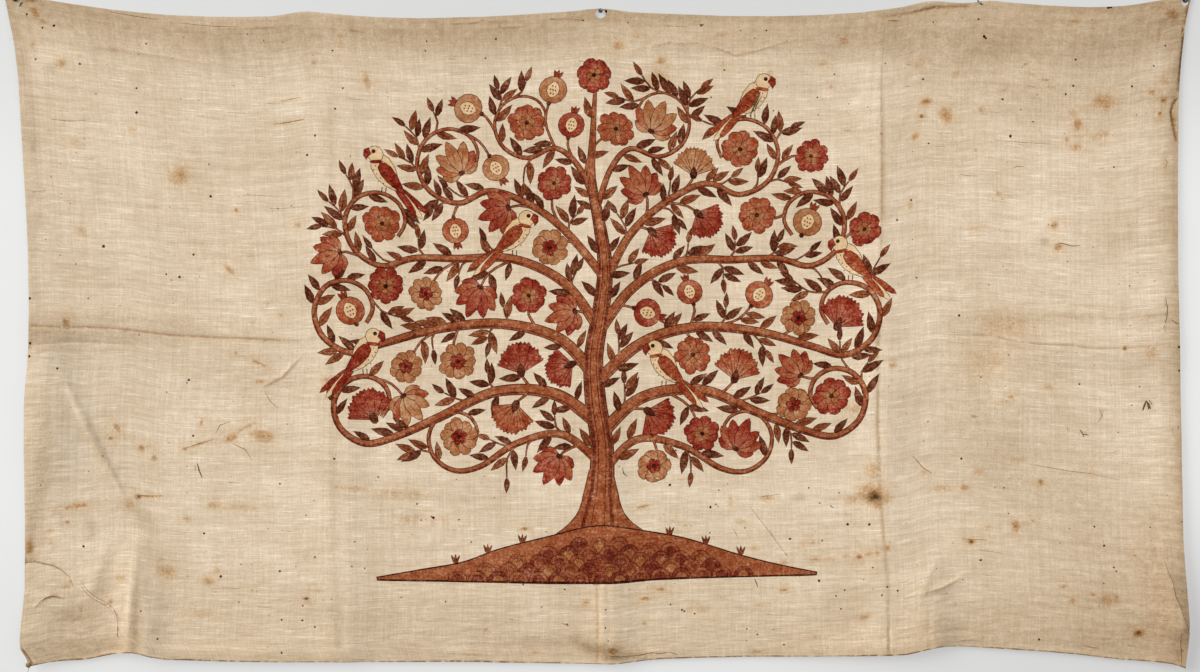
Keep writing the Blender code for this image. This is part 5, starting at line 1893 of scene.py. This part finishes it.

# %% [markdown]
# The cotton. Its threads lie along the flat cloth's own directions, which the "flat" map keeps in metres, so
# the weave follows the sag. The weft runs from side to side and is the uneven one, with slubs where the
# spinner's hand slipped. On the real cloth single threads hardly show from a few metres away, and what one
# sees is their unevenness: long fine streaks, paler and darker, with a faint grid across them. Over that come
# age, a thin painted shadow along the foot's edge, the painter's dyes, the stains, the dirt with the painted
# shade that shares its bands, and a few specks. The bump is in millimetres.

# %% The cotton's threads and patches
WAVER_SCALE, WAVER_REACH = 6.0, 0.006
cotton, tree, shader = new_finish("old_painted_cotton", roughness=0.9, shine=0.08)
flat_map = place_node(tree, "UVMap", uv_map="flat").outputs["UV"]
waver = place_node(tree, "TexNoise", {"Vector": flat_map, "Scale": WAVER_SCALE}).outputs["Color"]
waver = place_node(tree, "VectorMath", {0: waver, 1: (0.5, 0.5, 0.5)}, operation="SUBTRACT").outputs[0]
waver = place_node(tree, "VectorMath", {0: waver, "Scale": WAVER_REACH}, operation="SCALE").outputs[0]
weft = place_node(tree, "VectorMath", {0: flat_map, 1: waver}, operation="ADD").outputs[0]
turned = place_node(tree, "SeparateXYZ", {0: weft}).outputs
from_left, up = turned["X"], turned["Y"]
from_right = maths(tree, "SUBTRACT", CLOTH_WIDTH, from_left)
from_top = maths(tree, "SUBTRACT", CLOTH_HEIGHT, up)
warp = place_node(tree, "CombineXYZ", {"X": up, "Y": from_left}).outputs[0]

weft_yarn = threads(tree, weft, 44, 1.25, 1)
slubs = threads(tree, weft, 38, 2.0, 2)
weft_bars = threads(tree, weft, 260, 9, 3)
warp_yarn = threads(tree, warp, 32, 1.2, 4)
warp_bars = threads(tree, warp, 300, 4, 5)
ripples = threads(tree, weft, 30, 8, 6)
thick_yarn = threads(tree, weft, 26, 1.5, 7)
patches_of_age = cloudy(tree, flat_map, 9.0, 5.0, 0.6)
blotches = cloudy(tree, flat_map, 70.0, 3.0, 0.6)
mottle = cloudy(tree, weft, 260.0, 2.0, 0.6)
print("the threads waver by up to", round(WAVER_REACH / 2 / MM, 1), "mm")

# %% Its age, its painted shade, its dyes and its dirt
# what one full strength of age and painted shade, of brown, of grey and of the specks' brown lets through
AGE_AND_PAINTED_SHADE, BROWN = (0.60, 0.53, 0.44, 1), (0.59, 0.36, 0.19, 1)
GREY, SPECK_BROWN = (0.60, 0.55, 0.49, 1), (0.22, 0.14, 0.09, 1)
shade = total(tree, [
    (weft_yarn, -0.5), (slubs, -0.7), (weft_bars, -0.55), (warp_yarn, -0.5), (warp_bars, -0.4),
    (patches_of_age, 0.9), (blotches, 0.4), (mottle, 0.5),
])
# a thin painted shadow along the foot's edge, broken up by the blotches, darkens the last few millimetres
# there
foot_edge_painted_shadow = maths(tree, "MULTIPLY", ramp(tree, up, 0.0030, 0.0014), ramp(tree, blotches, 0.36, 0.56))
# the cotton is also made darker towards its sides, most at the right, towards its top and broadly towards its
# foot
for mask, strength in (
    (ramp(tree, slubs, 0.62, 0.78), -0.32), (ramp(tree, thick_yarn, 0.70, 0.82), 0.75),
    (ramp(tree, from_left, 0.03, 0.0), 0.08), (ramp(tree, from_right, 0.05, 0.0), 0.35),
    (ramp(tree, from_top, 0.06, 0.0), 0.2), (ramp(tree, up, 0.22, 0.0), 0.22), (foot_edge_painted_shadow, 1.9),
):
    shade = maths(tree, "MULTIPLY_ADD", mask, strength, shade)
colour = bath(tree, (*linear(CLEAN_COTTON), 1), AGE_AND_PAINTED_SHADE, shade)

dye_look = place_node(tree, "VertexColor", layer_name="dye").outputs
uptake = total(tree, [
    (weft_yarn, 0.6), (slubs, 0.7), (warp_yarn, 0.6), (blotches, 1.5), (mottle, 1.6), (patches_of_age, 0.6),
], start=0.97)
worn = sprinkle(tree, flat_map, 12, 1.1, 0.10)
taken_up = maths(tree, "MULTIPLY", dye_look["Alpha"], uptake)
taken_up = maths(tree, "MULTIPLY", taken_up, maths(tree, "MULTIPLY_ADD", worn, -0.75, 1.0))
colour = bath(tree, colour, dye_look["Color"], taken_up)

marks_look = place_node(tree, "VertexColor", layer_name="marks").outputs["Color"]
marks_look = place_node(tree, "SeparateColor", {0: marks_look}).outputs
broken = total(tree, [(blotches, 2.4), (slubs, 1.8), (warp_yarn, 0.8), (mottle, 2.4)], start=1.0)
streaky = total(tree, [(blotches, 0.9), (slubs, 1.4), (warp_yarn, 0.5), (mottle, 0.5)], start=1.0)
for light, unevenness, lets_through in (("Red", broken, BROWN), ("Green", streaky, GREY)):
    strength = maths(tree, "MULTIPLY", marks_look[light], unevenness)
    strength = maths(tree, "MAXIMUM", strength, 0.0)
    colour = bath(tree, colour, lets_through, strength)
for spacing, radius, share in ((26, 1.2, 0.22), (15, 0.9, 0.22), (7, 0.5, 0.3)):
    colour = bath(tree, colour, SPECK_BROWN, sprinkle(tree, weft, spacing, radius, share))

at_side = maths(tree, "MAXIMUM", ramp(tree, from_left, 0.16, 0.03), ramp(tree, from_right, 0.14, 0.02))
rumpled = maths(tree, "MAXIMUM", ramp(tree, up, 0.30, 0.02), at_side)
rumpled = maths(tree, "MULTIPLY_ADD", rumpled, 1.3, 0.35)
height = total(tree, [(weft_yarn, 0.10), (slubs, 0.15), (warp_yarn, 0.08), (blotches, 0.15)])
ripples = maths(tree, "MULTIPLY", maths(tree, "SUBTRACT", ripples, 0.5), rumpled)
give_surface(tree, shader, colour, maths(tree, "ADD", height, ripples))
sheet.materials.append(cotton)
print("the cotton's finish has", len(tree.nodes), "nodes")

# %% [markdown]
# The nails are black iron, and their solids already have the right shape, so those stay and get a finish.
# Old iron keeps a dark skin from the forge. It is rubbed bright on the crown of a head, where the hammer
# struck, and those bright patches are also a painted highlight where the head faces the viewer. It rusts
# round the rim, where damp cloth lay against it. The crown faces straight out from the wall, so the way the
# surface faces tells the two apart. The last effect, a soft patchy mask, serves the iron and the string.

# %% The iron
DARK_SKIN, LIGHT_SKIN = (0.012, 0.010, 0.009, 1), (0.030, 0.026, 0.024, 1)
BRIGHT_IRON_AND_GLINT, RUST = (0.60, 0.59, 0.57, 1), (0.11, 0.040, 0.018, 1)


def patchy(tree, place, size, low, high, detail=3.0):
    """A mask of soft patches of about this size in millimetres, 0 where the noise is low and 1 where high."""
    return ramp(tree, cloudy(tree, place, 1 / (size * MM), detail, 0.6), low, high)


def mixed(tree, share, first, second):
    """A colour between two others, the first where the share is 0."""
    return place_node(tree, "Mix", {0: share, 6: first, 7: second}, data_type="RGBA").outputs[2]


iron, tree, shader = new_finish("old_iron", roughness=0.5, shine=0.8)
where = place_node(tree, "TexCoord").outputs
place = where["Object"]
facing = place_node(tree, "SeparateXYZ", {0: where["Normal"]}).outputs["Y"]
# the crown's bright patches are wear and a painted highlight in one
crown = maths(tree, "MULTIPLY", ramp(tree, facing, -0.9, -1.0), patchy(tree, place, 2.4, 0.56, 0.66, 1.0))
rust = maths(tree, "MULTIPLY", ramp(tree, facing, -0.75, -0.2), patchy(tree, place, 1.6, 0.42, 0.6))
skin = mixed(tree, patchy(tree, place, 0.5, 0.35, 0.65), DARK_SKIN, LIGHT_SKIN)
skin = mixed(tree, rust, mixed(tree, crown, skin, BRIGHT_IRON_AND_GLINT), RUST)
tree.links.new(maths(tree, "MULTIPLY_ADD", rust, 0.45, 0.26), shader.inputs["Roughness"])
pits, grain = sprinkle(tree, place, 0.9, 0.2, 0.5), cloudy(tree, place, 2600.0, 3.0)
height = maths(tree, "MULTIPLY_ADD", pits, -0.08, maths(tree, "MULTIPLY", grain, 0.10))
give_surface(tree, shader, skin, height)
for name in NAILS:
    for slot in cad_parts[name].material_slots:
        slot.material = iron
print("iron on", list(NAILS))

# %% [markdown]
# The string and the loose yarn are undyed cotton. It is made of fine fibres laid side by side, cream where
# it is clean, and brown and grey where it was handled or lay damp. The fibres are the same drawn-out noise as
# the cloth's threads, along the string instead.

# %% Undyed cotton yarn
DULL_CREAM, CREAM, YARN_DIRT = (0.52, 0.43, 0.31, 1), (0.72, 0.64, 0.51, 1), (0.42, 0.30, 0.19, 1)


def undyed_cotton(name, dirt_from, dirt_to):
    """Cream yarn with dirty stretches. The two limits say how much of it is dirty."""
    finish, tree, shader = new_finish(name, roughness=0.92, shine=0.2)
    place = place_node(tree, "TexCoord").outputs["Object"]
    parts = place_node(tree, "SeparateXYZ", {0: place}).outputs
    lying = place_node(tree, "CombineXYZ", {"X": parts["Z"], "Y": parts["X"]}).outputs[0]
    fibres = threads(tree, lying, 2.2, 0.16, 11)
    clean = mixed(tree, ramp(tree, fibres, 0.3, 0.7), DULL_CREAM, CREAM)
    colour = bath(tree, clean, YARN_DIRT, patchy(tree, place, 9.0, dirt_from, dirt_to))
    fluff = cloudy(tree, place, 3000.0)
    give_surface(tree, shader, colour, total(tree, [(fibres, 0.25), (fluff, 0.15)]))
    return finish


string_cotton = undyed_cotton("string_cotton", 0.46, 0.62)
hanging_string.data.materials.append(string_cotton)
print("two-ply string in", string_cotton.name)

# %% [markdown]
# The cloth was never hemmed, so short ends of yarn stand out along its edges, most at the two sides, where
# the weft was cut. Each is a thin four-sided tube that grows out of the weave and curls a little. They are
# one mesh, because nobody would ever handle them one by one. Two longer ends stay where the photograph shows
# them, and a few pale threads still cross the tear beside the left nail.

# %% Loose ends of yarn
YARN_RADIUS, YARN_TURN = 0.14 * MM, 5 * MM
LOOSE_ENDS = [
    # corner that the side starts from, its direction, how many, shortest, longest; foot, right, top, left
    (0, 1, 40, 1.0, 3.2), (1, 1j, 62, 1.2, 4.5), (1 + 1j, -1, 30, 0.8, 2.2), (1j, -1j, 62, 1.2, 4.5),
]
LONG_ENDS = [
    # x, z on the edge, length, lean, curl in degrees
    (-965, -47, 11.0, -20, 75), (956, -777, 9.0, 38, 30),
]
TORN_THREADS = [
    # x, z of both ends, rise
    (-960, 6.5, -951, 8.5, 0.7), (-959, 8.5, -950, 10.5, 0.9), (-958.5, 10.5, -950, 12, 0.6),
    (-958, 12.5, -949.5, 14, 0.9), (-956, 15.5, -950, 15, 0.5), (-957, 5.5, -952, 16, 1.1),
]
MOST_LEAN, MOST_CURL, STEPS = 50, 70, 5
INSIDE_EDGE, AT_EDGE = 3 * MM, 0.9 * MM
# how far inside the edge a loose end is rooted, in millimetres
ROOTED = (1.4, 0.5)
loose_hand = random.Random(8)
yarn_shape = bmesh.new()


def yarn_through(places, depths):
    """A thin tube through hung places x + 1j z that lie so far from the wall, added to the one mesh."""
    route = [Vector((place.real, -depth, place.imag)) * MM for place, depth in zip(places, depths)]
    twisted_yarn(route, YARN_RADIUS, YARN_TURN, sides=4, lobes=0, bulge=0, shape=yarn_shape)


def loose_end(edge, out, length, lean, curl):
    """An end of yarn that leaves the cloth's edge at hung x + 1j z and curls in the cloth's own plane."""
    places = [edge - inside * out for inside in ROOTED]
    for k in range(STEPS):
        places.append(places[-1] + out * towards(lean + curl * k / (STEPS - 1)) * length / STEPS)
    depth = cloth_depth(np.array([edge]))[0]
    lift = loose_hand.uniform(-0.5, 0.3)
    yarn_through(places, [depth - lift * max(k - 1, 0) / STEPS for k in range(len(places))])


for corner, way, count, shortest, longest in LOOSE_ENDS:
    for k in range(count):
        place = corner + way * (k + loose_hand.uniform(0.1, 0.9)) / count
        place = place.real * CLOTH_WIDTH + 1j * place.imag * CLOTH_HEIGHT
        inside, edge = hung_place(place + 1j * way * np.array([INSIDE_EDGE, AT_EDGE]))
        out = (edge - inside) / abs(edge - inside)
        length, lean = loose_hand.uniform(shortest, longest), loose_hand.uniform(-MOST_LEAN, MOST_LEAN)
        loose_end(edge, out, length, lean, loose_hand.uniform(-MOST_CURL, MOST_CURL))
for x, z, length, lean, curl in LONG_ENDS:
    loose_end(complex(x, z), -1 if x < 0 else 1, length, lean, curl)
for x, z, far_x, far_z, rise in TORN_THREADS:
    share = np.linspace(0, 1, 7)
    places = complex(x, z) + (complex(far_x, far_z) - complex(x, z)) * share
    yarn_through(places, cloth_depth(places) + rise * np.sin(math.pi * share))
yarn_faces = len(yarn_shape.faces)
edge_threads = new_piece("edge_threads", yarn_shape)
edge_threads.data.materials.append(undyed_cotton("loose_yarn", 0.52, 0.72))
print("loose yarn of", yarn_faces, "faces")

# %% [markdown]
# At the lower left corner the cloth's tip is rolled into a small dark lump, and the string comes out of it.
# The lump is an icosphere, drawn out and dented by noise, with the creases of a roll cut round it.

# %% The rolled tip
TIP_PLACE, TIP_SIZE = complex(-940.0, -1076.5), (4.4, 2.6, 4.2)
# how close together dents and roll creases lie on the lump, and how deep they are, as shares of its size
LARGE_DENTS, SMALL_DENTS, ROLL_CREASES = (1.7, 0.16), (5.0, 0.05), (9.0, 0.06)
tip_shape = bmesh.new()
bmesh.ops.create_icosphere(tip_shape, subdivisions=4, radius=1.0)
tip_middle = Vector((TIP_PLACE.real, -cloth_depth(np.array([TIP_PLACE]))[0], TIP_PLACE.imag))
for point in tip_shape.verts:
    way = point.co.copy()
    dent = sum(depth * noise.noise(way * close) for close, depth in (LARGE_DENTS, SMALL_DENTS))
    roll = ROLL_CREASES[1] * math.sin(ROLL_CREASES[0] * (way.x + 0.6 * way.z) + 2.0 * noise.noise(way * 1.3))
    reach = 1 + dent + roll
    point.co = (tip_middle + Vector(a * b for a, b in zip(way, TIP_SIZE)) * reach) * MM
rolled_tip = new_piece("rolled_tip", tip_shape)
rolled_tip.data.materials.append(undyed_cotton("grubby_cotton", 0.25, 0.5))
print("the rolled tip stands", round(-tip_middle.y, 1), "mm from the wall")

# %% [markdown]
# No real wall is lit evenly. Here the uneven light is painted into the wall's glow as painted shade: it is a
# little darker along the top, and towards its lower right.

# %% The wall's painted falloff of light
LESS_AT_TOP, LESS_AT_FOOT, LESS_AT_LOWER_RIGHT = 0.26, 0.10, 0.20
tree = bpy.data.materials["wall_paint"].node_tree
place = place_node(tree, "SeparateXYZ", {0: place_node(tree, "TexCoord").outputs["Object"]}).outputs
at_foot = ramp(tree, place["Z"], -0.75, -1.08)
lower_right = maths(tree, "MULTIPLY", at_foot, ramp(tree, place["X"], 0.1, 0.95))
at_top = maths(tree, "MULTIPLY", ramp(tree, place["Z"], -0.32, 0.0), ramp(tree, place["X"], -2.5, 0.4))
share = 1.0
for mask, less in ((at_top, LESS_AT_TOP), (at_foot, LESS_AT_FOOT), (lower_right, LESS_AT_LOWER_RIGHT)):
    share = maths(tree, "MULTIPLY_ADD", mask, -less, share)
glow = tree.nodes["Principled BSDF"].inputs["Emission Color"]
tree.links.new(mixed(tree, share, (0, 0, 0, 1), glow.default_value[:]), glow)
print("the wall's glow falls by", LESS_AT_TOP, "at the top edge and by", LESS_AT_FOOT, "at the foot")
